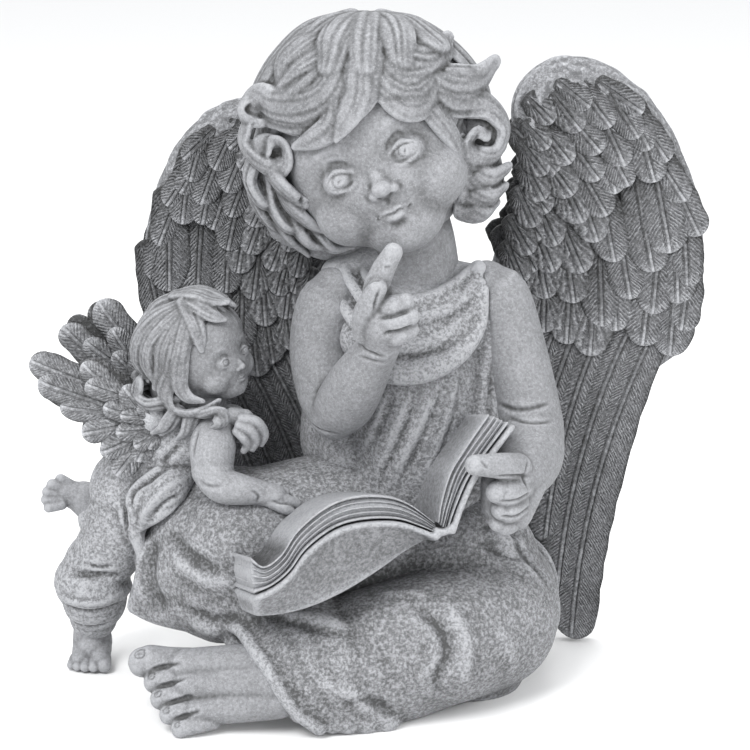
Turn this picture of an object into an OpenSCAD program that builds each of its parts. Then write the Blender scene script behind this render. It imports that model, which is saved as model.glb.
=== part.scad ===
// Garden statuette of a seated winged child with an open book and a small winged infant at its knee.
// Hollow resin figure, assembled from separate castings that are glued at hidden seams.
// Millimetres. The child faces -Y, its own left side is +X, and the statuette stands on Z = 0.

/* [Statuette] */
// Height of the whole statuette, from the ground to the top of the hair
statue_h = 280; // [220:1:340]
// Resin wall of the hollow castings
wall = 6; // [5:0.5:8]
// Thickness of the plug that closes the hollow from below
plug_t = 5; // [4:0.5:7]
// Glue gap round the plug and the moulded pegs
glue_gap = 0.2; // [0.1:0.05:0.4]

/* [Wings] */
// Thickness of the long flight feathers
flight_t = 6; // [5:0.5:8]
// Thickness of the wing where the small feathers lie over the flight feathers
covert_t = 10; // [9:0.5:13]
// Lean of the wings away from the child's back, in degrees
wing_lean = 4; // [2:0.5:6]

/* [Book] */
// Length of the book along its spine
book_len = 50; // [40:1:56]
// Drop of the book's far end towards the child's lap, in degrees
book_tilt = 16; // [10:1:22]

/* [Pegs] */
// Radius of the pegs moulded on the wings, head and arms
peg_r = 4; // [3:0.5:5]
// Length of a peg inside its socket
peg_l = 12; // [8:1:14]

/* [Hidden] */

drawn_h = 280;            // the height at which the shapes below are laid out
u = statue_h / drawn_h;   // everything is laid out once and scaled by this
round_fn = 14;            // facets round a limb
big_fn = 20;              // facets round the large masses
skin = wall / u;          // the wall before scaling

resin = [0.66, 0.67, 0.69];
cloth = [0.60, 0.61, 0.63];
feather = [0.54, 0.55, 0.57];
hollow = [0.45, 0.46, 0.48];

// Each limb is a list of [x, y, z, radius] from one end to the other.
right_upper_arm = [[-20, 9, 164, 12.5], [-23, 4, 142, 13.5], [-21, -8, 117, 12]];
right_forearm = [[-20, -14, 113, 11], [-10, -27, 134, 10.5], [1, -39, 156, 8], [5, -44, 168, 8]];
right_finger = [[4, -46, 172, 5], [3, -49, 184, 4.2], [7, -50, 194, 3.8]];
left_upper_arm = [[53, 14, 166, 12.5], [63, 8, 140, 13.5], [76, -4, 112, 14]];
left_forearm = [[76, -7, 106, 13.5], [68, -26, 98, 12], [57, -40, 96, 9.5], [50, -48, 100, 8]];
left_thumb = [[52, -52, 108, 5], [40, -58, 115, 4]];

torso_line = [[17, 14, 80, 34], [17, 11, 108, 31], [17, 8, 140, 29], [17, 10, 156, 23]];
seat = [[16, 18, 40, 42]];
right_thigh = [[0, 14, 62, 34], [-52, -8, 62, 31]];
left_thigh = [[34, 8, 48, 36], [50, -6, 34, 28]];
left_shin = [[47, -12, 31, 29], [20, -32, 29, 28], [-12, -36, 26, 24], [-44, -30, 36, 12]];
knee_drape = [[-94, 0, 39, 8], [-62, -20, 34, 11], [-52, -10, 58, 28]];

// The head's hollow follows the skull, and opens through the neck.
skull_hollow = [[-2, 9, 240, 39], [4, 6, 226, 32]];
neck_z = 184;             // the seam round the neck

base_discs = [[16, 18, 38], [38, -4, 24], [-4, -36, 23]];  // [x, y, radius] of the foot ring in plan
base_ring = 9;            // height of the foot ring

infant_trunk = [[-72, 1, 111, 13], [-86, 10, 98, 17], [-102, 16, 76, 18]];
infant_right_leg = [[-104, 16, 70, 16], [-113, 14, 52, 15], [-121, 16, 39, 14], [-123, 19, 28, 10]];
infant_left_leg = [[-104, 24, 66, 13], [-112, 28, 52, 11], [-116, 28, 62, 9]];

// Left wing's outline in the X-Z plane: shoulder, leading edge, outer edge, tip, inner edge.
flight_outline = [
    [46, 150], [52, 181], [60, 196], [62, 214], [56, 232], [61, 246], [70, 252], [82, 256], [96, 251],
    [108, 243], [120, 228], [128, 216], [141, 188], [142, 168], [139, 140], [134, 128], [128, 124],
    [112, 96], [99, 67], [96, 36], [92, 14], [85, 3], [77, 1], [68, 20], [62, 60], [46, 110]
];
covert_outline = [
    [46, 150], [52, 181], [60, 196], [62, 214], [56, 232], [61, 246], [70, 252], [82, 256], [96, 251],
    [108, 243], [120, 228], [128, 216], [138, 188], [135, 150], [126, 120], [112, 104], [92, 110],
    [76, 94], [60, 108]
];
wing_root = [42, 150];
root_depth = 8;           // how far the wing's root stands forward of its small feathers
wing_y = 44;              // Y of the wings' front face at the ground
right_spread = 0.97;      // the right wing is drawn this much narrower, since it is turned away

// Infant's wings, drawn in a plane as fans of feathers: [angle, length, width].
fan_right = [[158, 54, 15], [172, 52, 15], [188, 40, 14], [206, 32, 13], [226, 26, 13], [144, 36, 14]];
fan_left = [[124, 52, 15], [138, 50, 14], [108, 40, 13], [152, 44, 14]];

// Front edge of the book: the top and the underside of each half, from the fore edge to the spine.
left_top = [[-50, 82], [-45, 78], [-38, 82], [-31, 91], [-20, 99], [-9, 102.5], [4, 102], [14, 98], [24, 89.5]];
left_under = [[24.5, 86], [10, 91.5], [-5, 92.5], [-17, 89.5], [-29, 82], [-37, 73], [-44, 67], [-50, 62]];
right_top = [[25, 89.5], [27, 98], [31, 109], [37, 117.5], [48, 131]];
right_under = [[57, 126], [46, 116.5], [39, 109], [33, 98], [29.5, 87]];
book_front = -61;         // Y of the book's front edge
book_turn = 13;           // turn of the spine towards the child's middle, in degrees

// A chain of hulls through the spheres of a limb.
module limb(line, grow = 0, fn = round_fn) {
    for (i = [0 : max(0, len(line) - 2)])
        hull() {
            ball(line[i], grow, fn);
            ball(line[min(i + 1, len(line) - 1)], grow, fn);
        }
}

module ball(p, grow = 0, fn = round_fn) {
    translate([p.x, p.y, p.z]) sphere(r = p[3] + grow, $fn = fn);
}

// Everything above the ground.
module above_ground(z = 0) {
    translate([-200, -200, z]) cube([400, 400, 400]);
}

module peg(at, turn, r = peg_r / u, l = peg_l / u) {
    translate(at) rotate(turn) cylinder(r = r, h = l, center = true, $fn = 24);
}

module torso_mass(grow = 0) {
    limb(torso_line, grow, big_fn);
    limb([[-14, 11, 162, 13], [17, 11, 166, 16], [49, 13, 166, 13]], grow);
    limb([[17, 11, 166, 15], [17.5, 11, 190, 12.5]], grow);
    limb([[17, 17, 88, 35], [17, 22, 146, 22]], grow, big_fn);
    limb([[2, 33, 144, 17], [34, 33, 144, 17]], grow);
}

module skirt_mass(grow = 0) {
    limb(seat, grow, big_fn);
    limb(right_thigh, grow, big_fn);
    limb(left_thigh, grow, big_fn);
    limb(left_shin, grow, big_fn);
    hull() for (p = knee_drape) ball(p, grow);
    limb([[-10, -34, 20, 24], [8, -36, 22, 25], [38, -14, 26, 26]], grow);
    hull() {
        linear_extrude(base_ring) base_plan(grow);
        ball([16, 14, 44, 38], grow);
        ball([2, -22, 34, 30], grow);
    }
}

// Pegs and their sockets share one place; a socket is wider by the glue gap.
module neck_peg(gap = 0) peg([17.5, 11, neck_z], [0, 0, 0], (2 * peg_r + gap) / u, 2 * peg_l / u + gap);
module right_arm_peg(gap = 0) peg([-17, 9, 151], [0, 25, 0], (peg_r + gap) / u, 1.7 * peg_l / u + gap);
module left_arm_peg(gap = 0) peg([53, 12, 154], [0, -26, 0], (peg_r + gap) / u, 1.7 * peg_l / u + gap);
module wing_pegs(gap = 0) {
    for (x = [34, 0])
        for (z = [132, 152])
            peg([x, 48, z], [90, 0, 0], (peg_r + gap) / u, 2 * peg_l / u + gap);
}

// Outline of the foot ring, grown or shrunk.
module base_plan(grow = 0) {
    hull() for (d = base_discs) translate([d[0], d[1]]) circle(r = d[2] + grow, $fn = 40);
}

module bodice_solid() {
    difference() {
        torso_mass();
        skirt_mass();
        translate([-60, -60, 0]) cube([140, 140, 78]);
        above_ground(neck_z);
    }
}

module bodice() {
    color(cloth) scale(u) difference() {
        bodice_solid();
        intersection() {
            limb(torso_line, -skin, big_fn);
            translate([-60, -60, 0]) cube([140, 140, 150]);
        }
        neck_peg(glue_gap);
        right_arm_peg(glue_gap);
        left_arm_peg(glue_gap);
        wing_pegs(glue_gap);
    }
}

module skirt() {
    color(cloth) scale(u) difference() {
        intersection() {
            skirt_mass();
            above_ground();
        }
        intersection() {
            skirt_mass(-skin);
            above_ground(plug_t / u);
            translate([-34, -60, 0]) cube([120, 140, 92]);
        }
        translate([0, 0, -1]) linear_extrude(plug_t / u + 3) base_plan(glue_gap - skin);
    }
}

module base_plug() {
    color(hollow) scale(u) linear_extrude(plug_t / u) base_plan(-skin);
}

module head_mass(grow = 0) {
    ball([-2, 9, 240.5, 39.5], grow, big_fn);
    limb([[-20, 6, 250, 25], [14, 10, 247, 28], [30, 4, 226, 19]], grow, big_fn);
    limb([[0, 0, 230, 36], [5, -5, 218, 26], [11, -10, 206, 14]], grow, big_fn);
    limb([[13, 6, 206, 14], [17.5, 11, 178, 12.5]], grow);
    limb([[-36, -2, 244, 10], [-46, -3, 243, 8], [-42, -6, 230, 7]], grow);
    limb([[-32, -2, 222, 12], [-30, 6, 208, 12], [-22, 14, 196, 10]], grow);
    limb([[32, 4, 250, 12], [45, 2, 256, 5]], grow);
    limb([[40, 2, 238, 13], [44, 0, 226, 10], [43, 4, 214, 10], [34, 8, 204, 11]], grow);
}

module head() {
    color(resin) scale(u) {
        difference() {
            union() {
                intersection() {
                    head_mass();
                    above_ground(neck_z);
                }
                neck_peg();
            }
            limb(skull_hollow, -skin, big_fn);
            translate([17.5, 11, neck_z - 20]) cylinder(r = peg_r / u, h = 45, $fn = 24);
        }
    }
}

module right_arm_mass() {
    limb(right_upper_arm);
    limb(right_forearm);
    limb(right_finger);
    limb([[10, -48, 170, 5], [13, -47, 162, 4]]);
    limb([[2, -46, 162, 6], [8, -46, 166, 6]]);
}

module right_arm() {
    color(resin) scale(u) difference() {
        union() {
            right_arm_mass();
            right_arm_peg();
        }
        difference() {
            bodice_solid();
            right_arm_peg();
        }
        head_mass();
        skirt_mass();
    }
}

module left_arm_mass() {
    limb(left_upper_arm);
    limb(left_forearm);
    limb(left_thumb);
    limb([[50, -46, 96, 8], [40, -50, 84, 6]]);
}

module left_arm() {
    color(resin) scale(u) difference() {
        union() {
            left_arm_mass();
            left_arm_peg();
        }
        difference() {
            bodice_solid();
            left_arm_peg();
        }
        skirt_mass();
        book_block();
    }
}

// The two halves of the open book, carried along the spine.
module book_block() {
    translate([24.5, book_front, 88]) rotate([-book_tilt, 0, book_turn]) translate([-24.5, 0, -88])
        rotate([90, 0, 0]) translate([0, 0, -book_len / u]) linear_extrude(book_len / u) {
            polygon(concat(left_top, left_under));
            polygon(concat(right_top, right_under));
            polygon([[22, 90.5], [22, 86.3], [24.5, 84.5], [30, 86.5], [28, 92], [25, 91]]);
        }
}

module book() {
    color(resin) scale(u) difference() {
        book_block();
        skirt_mass();
        torso_mass();
    }
}

module foot_shape(length, width, height) {
    hull() {
        translate([0, 0, height * 0.55]) sphere(r = height * 0.45, $fn = round_fn);
        translate([-length * 0.55, 0, height * 0.35]) sphere(r = height * 0.33, $fn = round_fn);
        translate([-length * 0.5, width * 0.22, height * 0.35]) sphere(r = height * 0.3, $fn = round_fn);
    }
    for (i = [0 : 4])
        let (side = width * (0.42 - 0.21 * i), toe = height * (0.25 - 0.022 * i))
            hull() {
                translate([-length * 0.5, side * 0.8, toe]) sphere(r = toe, $fn = 12);
                translate([-length * (0.93 - 0.05 * i * i / 2), side, toe]) sphere(r = toe, $fn = 12);
            }
}

module left_foot() {
    color(resin) scale(u) difference() {
        translate([-38, -46, 10]) rotate([38, 0, 2]) foot_shape(58, 36, 26);
        skirt_mass();
        translate([-200, -200, -100]) cube([400, 400, 100]);
    }
}

// A wing as two layers, drawn for the child's left and leaning back from its root.
function spread_out(outline, spread) = [for (p = outline) [p.x * spread, p.y]];

module wing_layers(spread = 1) {
    translate([0, wing_y, 0]) rotate([-wing_lean, 0, 0]) rotate([90, 0, 0]) {
        translate([0, 0, -flight_t / u]) linear_extrude(flight_t / u) polygon(spread_out(flight_outline, spread));
        linear_extrude((covert_t - flight_t) / u) polygon(spread_out(covert_outline, spread));
        translate([0, 0, -flight_t / u]) linear_extrude(covert_t / u + root_depth) hull() {
            translate([wing_root.x, wing_root.y]) circle(r = 22, $fn = 32);
            translate([28, 128]) circle(r = 12, $fn = 32);
        }
    }
}

module left_wing() {
    color(feather) scale(u) difference() {
        union() {
            intersection() {
                wing_layers();
                above_ground();
            }
            for (z = [132, 152]) peg([34, 48, z], [90, 0, 0], peg_r / u, 2 * peg_l / u);
        }
        difference() {
            bodice_solid();
            wing_pegs();
        }
        skirt_mass();
        left_arm_mass();
        head_mass();
        translate([-183, -100, 0]) cube([200, 300, 300]);
    }
}

module right_wing() {
    color(feather) scale(u) difference() {
        union() {
            intersection() {
                translate([14, 0, 150]) rotate([0, -7, 0]) translate([-14, 0, -150])
                    mirror([1, 0, 0]) translate([-27, 0, 8]) scale(0.93) wing_layers(right_spread);
                above_ground();
            }
            for (z = [132, 152]) peg([0, 48, z], [90, 0, 0], peg_r / u, 2 * peg_l / u);
        }
        difference() {
            bodice_solid();
            wing_pegs();
        }
        skirt_mass();
        right_arm_mass();
        head_mass();
        translate([17, -100, 0]) cube([200, 300, 300]);
    }
}

module infant_body_mass() {
    limb(infant_trunk);
    limb(infant_right_leg);
    limb(infant_left_leg);
    limb([[-84, 2, 84, 12], [-90, 0, 68, 9]]);
}

module infant_body() {
    color(cloth) scale(u) difference() {
        infant_body_mass();
        skirt_mass();
        right_wing_block();
    }
}

// The space that the right wing fills, kept clear of the infant.
module right_wing_block() {
    translate([-120, 36, 0]) cube([140, 60, 260]);
}

module infant_head_mass() {
    ball([-70, -2, 146, 18], 0, 18);
    ball([-58, -6, 143, 12]);
    limb([[-54, -7, 138, 8], [-52, -8, 145, 6]]);
    limb([[-60, -5, 132, 8], [-72, -2, 120, 8]]);
    limb([[-76, -8, 134, 7], [-66, -14, 128, 6]]);
}

module infant_head() {
    color(resin) scale(u) difference() {
        infant_head_mass();
        infant_body_mass();
        right_wing_block();
        skirt_mass();
    }
}

module infant_right_arm() {
    color(cloth) scale(u) difference() {
        union() {
            limb([[-66, -14, 112, 8], [-64, -20, 97, 8.5], [-56, -26, 92, 6], [-46, -26, 91, 4.5], [-40, -26, 90, 3.5]]);
        }
        infant_body_mass();
        infant_head_mass();
        skirt_mass();
        right_arm_mass();
    }
}

module infant_left_arm() {
    color(cloth) scale(u) difference() {
        limb([[-60, 4, 112, 7], [-50, -6, 112, 8], [-50, -12, 122, 6], [-52, -12, 128, 4]]);
        infant_body_mass();
        infant_head_mass();
        skirt_mass();
        right_arm_mass();
        limb([[-66, -14, 112, 8], [-64, -20, 97, 8.5], [-56, -26, 92, 6]]);
    }
}

// A fan of rounded feathers about the origin, in the X-Y plane.
module feather_fan(feathers, thick) {
    linear_extrude(thick) {
        for (f = feathers)
            rotate(f[0]) hull() {
                translate([4, 0]) circle(r = f[2] * 0.3, $fn = 24);
                translate([f[1] - f[2] / 2, 0]) circle(r = f[2] / 2, $fn = 24);
            }
        circle(r = 12, $fn = 32);
    }
}

module infant_right_wing() {
    color(feather) scale(u) difference() {
        translate([-88, 5, 116]) rotate([90, 0, 0]) rotate([0, 18, 0]) feather_fan(fan_right, 6);
        infant_body_mass();
        infant_head_mass();
        skirt_mass();
    }
}

module infant_left_wing() {
    color(feather) scale(u) difference() {
        translate([-88, 20, 116]) rotate([90, 0, 0]) rotate([0, 14, 0]) feather_fan(fan_left, 6);
        infant_body_mass();
        infant_head_mass();
        skirt_mass();
    }
}

module infant_standing_foot() {
    color(resin) scale(u) difference() {
        intersection() {
            union() {
                limb([[-123, 24, 26, 9], [-123, 26, 12, 9], [-123, 16, 8, 9]]);
                for (i = [0 : 4]) limb([[-123 + 4 * (i - 2), 14, 5, 4], [-123 + 4.4 * (i - 2), 7, 3.4, 3]]);
            }
            above_ground();
        }
        infant_body_mass();
    }
}

module infant_raised_foot() {
    color(resin) scale(u) difference() {
        union() {
            limb([[-117, 30, 64, 7], [-124, 30, 71, 7], [-133, 30, 73, 6.5]]);
            for (i = [0 : 4]) limb([[-132, 26 + 2 * i, 72, 4], [-138, 24 + 3 * i, 72 + i, 2.6]]);
        }
        infant_body_mass();
        right_wing_block();
    }
}

bodice();
skirt();
base_plug();
head();
right_arm();
left_arm();
book();
left_foot();
left_wing();
right_wing();
infant_body();
infant_head();
infant_right_arm();
infant_left_arm();
infant_right_wing();
infant_left_wing();
infant_standing_foot();
infant_raised_foot();
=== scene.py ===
import math
import bpy
import numpy as np
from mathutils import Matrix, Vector


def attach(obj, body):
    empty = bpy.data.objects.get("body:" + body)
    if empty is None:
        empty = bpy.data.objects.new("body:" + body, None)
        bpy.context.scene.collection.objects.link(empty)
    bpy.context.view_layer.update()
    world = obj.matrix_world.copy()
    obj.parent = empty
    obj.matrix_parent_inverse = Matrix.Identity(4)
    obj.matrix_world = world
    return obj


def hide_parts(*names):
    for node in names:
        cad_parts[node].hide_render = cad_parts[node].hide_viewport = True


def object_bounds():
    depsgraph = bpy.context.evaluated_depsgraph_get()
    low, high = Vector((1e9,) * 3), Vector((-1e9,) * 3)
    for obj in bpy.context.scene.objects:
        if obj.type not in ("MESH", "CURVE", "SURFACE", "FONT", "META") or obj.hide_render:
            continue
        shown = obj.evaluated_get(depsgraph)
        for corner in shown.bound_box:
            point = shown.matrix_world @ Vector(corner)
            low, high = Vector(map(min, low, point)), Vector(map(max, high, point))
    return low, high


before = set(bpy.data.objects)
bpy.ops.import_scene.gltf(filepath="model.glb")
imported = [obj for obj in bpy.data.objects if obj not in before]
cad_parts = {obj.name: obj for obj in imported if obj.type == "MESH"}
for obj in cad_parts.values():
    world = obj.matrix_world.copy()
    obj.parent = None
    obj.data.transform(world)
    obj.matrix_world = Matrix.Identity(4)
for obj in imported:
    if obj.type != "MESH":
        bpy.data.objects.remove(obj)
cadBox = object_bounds()
drawnHeight = 280.0                       # the figure is laid out in millimetres at this height
unit = (cadBox[1][2] - cadBox[0][2]) / drawnHeight
poleGap = 0.002                           # points closer than this are merged at a shell's poles
# The relief from these scales is painted into the colour: painted shade in hollows and painted highlight on
# ridges, with the dry-brushed finish.
reliefScales = ((3, 1.5), (14, 0.55), (40, 0.28))        # smoothing passes, and how much each scale shows
reliefDeepest, reliefHighest = -0.45, 0.4


def curveThrough(points, count):
    # Catmull-Rom: each stretch is a cubic through four neighbouring points; the samples are then
    # spread evenly along its length, and a little closer near the two ends.
    p = np.asarray(points, float)
    p = np.vstack([2 * p[0] - p[1], p, 2 * p[-1] - p[-2]])
    stretches = len(p) - 3
    t = np.linspace(0, stretches, 16 * stretches + 1)
    i = np.minimum(t.astype(int), stretches - 1)
    f = (t - i)[:, None]
    a, b, c, d = p[i], p[i + 1], p[i + 2], p[i + 3]
    q = b + 0.5 * f * (c - a + f * (2 * a - 5 * b + 4 * c - d + f * (3 * (b - c) + d - a)))
    run = np.r_[0, np.cumsum(np.linalg.norm(np.diff(q[:, :3], axis=0), axis=1))]
    even = np.linspace(0, 1, count)
    want = run[-1] * (0.6 * even + 0.4 * (0.5 - 0.5 * np.cos(np.pi * even)))
    return np.column_stack([np.interp(want, run, q[:, k]) for k in range(q.shape[1])]), want


def unitRows(v):
    # Each row divided by its length.
    return v / np.maximum(np.linalg.norm(v, axis=-1, keepdims=True), 1e-9)


def gridQuads(rows, cols, wrap=True):
    # Quads between neighbouring rows of a grid, whose columns may close on themselves.
    r = np.arange(rows - 1)[:, None] * cols
    c = np.arange(cols if wrap else cols - 1)[None, :]
    n = (c + 1) % cols
    return np.stack([r + c, r + n, r + cols + n, r + cols + c], axis=-1).reshape(-1, 4)


def tube(points, count=24, around=18, out=None, flat=1.0, groove=None, awayFrom=None):
    # A ring carried along a smooth path. Each ring is the path's radius times
    # (cos angle, flat * sin angle), across the path, and it closes as half balls past both ends.
    # Its flattened side faces one way, or away from a centre.
    p = np.asarray(points, float)
    first, last = p[0].copy(), p[-1].copy()
    first[:3] -= unitRows(p[1, :3] - p[0, :3]) * p[0, 3]
    last[:3] += unitRows(p[-1, :3] - p[-2, :3]) * p[-1, 3]
    path, run = curveThrough(np.vstack([first, p, last]), count)
    middle, radius = path[:, :3], path[:, 3]
    ahead = unitRows(np.gradient(middle, axis=0))
    if awayFrom is not None:
        out = unitRows(middle - np.asarray(awayFrom, float))
    if out is None:
        up = np.empty_like(ahead)
        first = np.eye(3)[np.argmin(np.abs(ahead[0]))]
        for k, direction in enumerate(ahead):
            first = first - direction * (first @ direction)
            first = first / np.linalg.norm(first)
            up[k] = first
    else:
        up = np.broadcast_to(np.asarray(out, float), ahead.shape)
        up = unitRows(up - ahead * np.sum(up * ahead, axis=1, keepdims=True))
    side = np.cross(up, ahead)
    fromEnd = np.minimum(run, run[-1] - run)
    cap = np.sqrt(np.clip(1 - (1 - np.minimum(fromEnd / np.maximum(radius, 1e-6), 1)) ** 2, 0, 1))
    angle = np.linspace(0, 2 * np.pi, around, endpoint=False)
    size = (radius * cap)[:, None]
    if groove is not None:
        size = size * groove(angle[None, :], (run / run[-1])[:, None])
    verts = (middle[:, None] + (size * np.cos(angle))[..., None] * side[:, None]
             + (size * np.sin(angle) * flat)[..., None] * up[:, None])
    return verts.reshape(-1, 3), gridQuads(count, around)


def ball(middle, radii, rows=22, around=32):
    # An egg: the middle plus the three radii times a point of the unit ball, from pole to pole.
    down = np.linspace(0, np.pi, rows)[:, None]
    turn = np.linspace(0, 2 * np.pi, around, endpoint=False)[None, :]
    unitBall = np.stack([np.sin(down) * np.cos(turn), np.sin(down) * np.sin(turn),
                         np.cos(down) * np.ones_like(turn)], axis=-1)
    verts = np.asarray(middle, float) + unitBall * (np.ones(3) * radii)
    return verts.reshape(-1, 3), gridQuads(rows, around)[:, ::-1]


def ownAxes(up, out, size=1.0):
    # Rows are a part's own across, up and out directions, at its size.
    o = unitRows(np.asarray(out, float))
    u = np.asarray(up, float)
    u = unitRows(u - o * (u @ o))
    return np.stack([np.cross(u, o), u, o]) * size


def carried(part, origin, axes):
    # A part shaped in its own directions, set into the figure.
    return np.asarray(origin, float) + part[0] @ axes, part[1]


def joined(parts):
    # Parts as one list of points and one of quads, each part's quads counted on from the last.
    verts, quads, offset = [], [], 0
    for v, q in parts:
        verts.append(v)
        quads.append(q + offset)
        offset += len(v)
    return np.vstack(verts), np.vstack(quads)


def bareMesh(name, verts, faces):
    # A mesh from whole arrays of points and faces.
    mesh = bpy.data.meshes.new(name)
    size = faces.shape[1]
    mesh.vertices.add(len(verts))
    mesh.vertices.foreach_set("co", verts.astype(np.float32).ravel())
    mesh.loops.add(faces.size)
    mesh.loops.foreach_set("vertex_index", faces.astype(np.int32).ravel())
    mesh.polygons.add(len(faces))
    mesh.polygons.foreach_set("loop_start", np.arange(len(faces), dtype=np.int32) * size)
    mesh.polygons.foreach_set("loop_total", np.full(len(faces), size, np.int32))
    mesh.update(calc_edges=True)
    return mesh


def coords(mesh):
    # All points, one row each.
    v = np.empty(len(mesh.vertices) * 3, np.float32)
    mesh.vertices.foreach_get("co", v)
    return v.reshape(-1, 3).astype(float)


def normalsOf(mesh):
    # The outward direction at each point.
    n = np.empty(len(mesh.vertices) * 3, np.float32)
    mesh.vertex_normals.foreach_get("vector", n)
    return n.reshape(-1, 3).astype(float)


def evaluated(mesh, *modifiers):
    # The mesh as Blender's own modifiers leave it.
    holder = bpy.data.objects.new("holder", mesh)
    bpy.context.scene.collection.objects.link(holder)
    for kind, settings in modifiers:
        m = holder.modifiers.new(kind, kind)
        for key, value in settings.items():
            setattr(m, key, value)
    graph = bpy.context.evaluated_depsgraph_get()
    result = bpy.data.meshes.new_from_object(holder.evaluated_get(graph), depsgraph=graph)
    bpy.data.objects.remove(holder)
    bpy.data.meshes.remove(mesh)
    return result


def fused(parts, voxel=0.8, melt=4):
    # Overlapping closed shells become one skin of small squares, and their joints are melted together.
    mesh = bareMesh("clay", *joined(parts))
    return evaluated(mesh, ("REMESH", {"mode": "VOXEL", "voxel_size": voxel}),
                     ("SMOOTH", {"factor": 0.5, "iterations": melt}))


def welded(parts):
    # Closed shells side by side, with each pole's doubled points merged.
    mesh = bareMesh("shells", *joined(parts))
    return evaluated(mesh, ("WELD", {"merge_threshold": poleGap}))


class Relief:
    # A skin whose points are pushed along their normals by strokes and dabs.
    def __init__(self, mesh):
        self.mesh = mesh
        self.refresh()

    def refresh(self):
        # The points and directions as they stand in the mesh.
        self.at = coords(self.mesh)
        self.normal = normalsOf(self.mesh)

    def settle(self):
        # The pushed points go back into the mesh, and the directions are taken again.
        self.mesh.vertices.foreach_set("co", self.at.astype(np.float32).ravel())
        self.mesh.update()
        self.refresh()

    def onto(self, points):
        # The skin's own point nearest to each given point.
        return np.array([self.at[np.argmin(((self.at - p) ** 2).sum(axis=1))] for p in points])

    def distance(self, line, reach):
        # Distance to a polyline, and how far along it the nearest place is, for points within reach.
        low, high = line.min(axis=0) - reach, line.max(axis=0) + reach
        near = np.flatnonzero(((self.at > low) & (self.at < high)).all(axis=1))
        best = np.full(len(near), 1e9)
        place = np.zeros(len(near))
        for k in range(len(line) - 1):
            a, step = line[k], line[k + 1] - line[k]
            t = np.clip((self.at[near] - a) @ step / max(step @ step, 1e-9), 0, 1)
            d = ((self.at[near] - a - t[:, None] * step) ** 2).sum(axis=1)
            closer = d < best
            best[closer] = d[closer]
            place[closer] = ((k + t) / (len(line) - 1))[closer]
        return near, np.sqrt(best), place

    def stroke(self, points, width, depth, taper=0.38):
        # Height along a line on the skin is depth * exp(-(distance / width) ** 2), and fades at both ends
        # over the share of its length that taper says.
        line = self.onto(curveThrough(points, 4 * len(points) + 6)[0][:, :3])
        for _ in range(3):
            line[1:-1] = (line[:-2] + 2 * line[1:-1] + line[2:]) / 4
        near, far, place = self.distance(line, 2.6 * width)
        fade = np.clip(np.minimum(place, 1 - place) / max(taper, 1e-6), 0, 1)
        fade = fade * fade * (3 - 2 * fade)
        push = depth * np.exp(-(far / width) ** 2) * fade
        self.at[near] += self.normal[near] * push[:, None]

    def dab(self, point, width, height):
        # A round bump or hollow: height * exp(-(distance / width) ** 2), with a width for each axis.
        off = (self.at - self.onto([point])[0]) / np.asarray(width, float)
        push = height * np.exp(-(off ** 2).sum(axis=1))
        self.at += self.normal * push[:, None]


def edgesOf(mesh):
    # The two ends of each edge.
    e = np.empty(len(mesh.edges) * 2, np.int32)
    mesh.edges.foreach_get("vertices", e)
    return e.reshape(-1, 2)


def neighbourMean(values, edges, count):
    # Each point's mean over its neighbours along the edges.
    total = np.stack([np.bincount(edges[:, 0], values[edges[:, 1], k], count)
                      + np.bincount(edges[:, 1], values[edges[:, 0], k], count)
                      for k in range(values.shape[1])], axis=1)
    links = np.bincount(edges.ravel(), minlength=count)[:, None]
    return total / np.maximum(links, 1)


def storeRelief(mesh, extra=0, strength=1.0):
    # How far each point stands out of (above 0.5) or sinks into (below 0.5) the smoothed skin, at a fine and
    # a broad scale, kept as the attribute that the finish reads. The finish turns it into painted shade in
    # hollows, with the broadest scale standing in for shade from nearby parts, and a painted highlight on
    # ridges. This comes on top of the statue's own dry-brushed dark hollows and pale ridges.
    at, normal, edges = coords(mesh), normalsOf(mesh), edgesOf(mesh)
    smooth, stands = at, 0
    for passes, weight in reliefScales:
        for _ in range(passes):
            smooth = 0.5 * smooth + 0.5 * neighbourMean(smooth, edges, len(at))
        stands = stands + strength * weight * ((at - smooth) * normal).sum(axis=1)
    level = np.clip(0.5 + np.clip(stands, reliefDeepest, reliefHighest) + extra, 0, 1)
    layer = mesh.attributes.new("relief", "FLOAT", "POINT")
    layer.data.foreach_set("value", level.astype(np.float32))


def finish(name, mesh, material, nodes, extra=0, strength=1.0):
    # The piece in metres, in the frame, with its finish, riding on the one body.
    storeRelief(mesh, extra, strength)
    mesh.vertices.foreach_set("co", (coords(mesh) * unit).astype(np.float32).ravel())
    mesh.polygons.foreach_set("use_smooth", np.ones(len(mesh.polygons), bool))
    mesh.materials.clear()
    mesh.materials.append(material)
    mesh.polygons.foreach_set("material_index", np.zeros(len(mesh.polygons), np.int32))
    mesh.name = name
    mesh.update()
    piece = bpy.data.objects.new(name, mesh)
    bpy.context.scene.collection.objects.link(piece)
    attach(piece, "root")
    if nodes:
        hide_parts(*nodes)
    print("made", name, len(mesh.polygons), "faces")
    return piece


class Wire:
    # A node's output, on which Python's operators add Math nodes.
    def __init__(self, sheet, socket):
        self.sheet, self.socket = sheet, socket

    def math(self, operation, *others):
        return self.sheet.add("ShaderNodeMath", {"operation": operation}, self, *others)

    def __add__(self, other):
        return self.math("ADD", other)

    def __sub__(self, other):
        return self.math("SUBTRACT", other)

    def __mul__(self, other):
        return self.math("MULTIPLY", other)

    def __rsub__(self, other):
        return self.sheet.add("ShaderNodeMath", {"operation": "SUBTRACT"}, other, self)

    __radd__ = __add__
    __rmul__ = __mul__

    def ramp(self, low, high):
        # 0 below low, 1 above high, and straight between.
        straight = {"interpolation_type": "LINEAR", "clamp": True}
        return self.sheet.add("ShaderNodeMapRange", straight, self, low, high)


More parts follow.
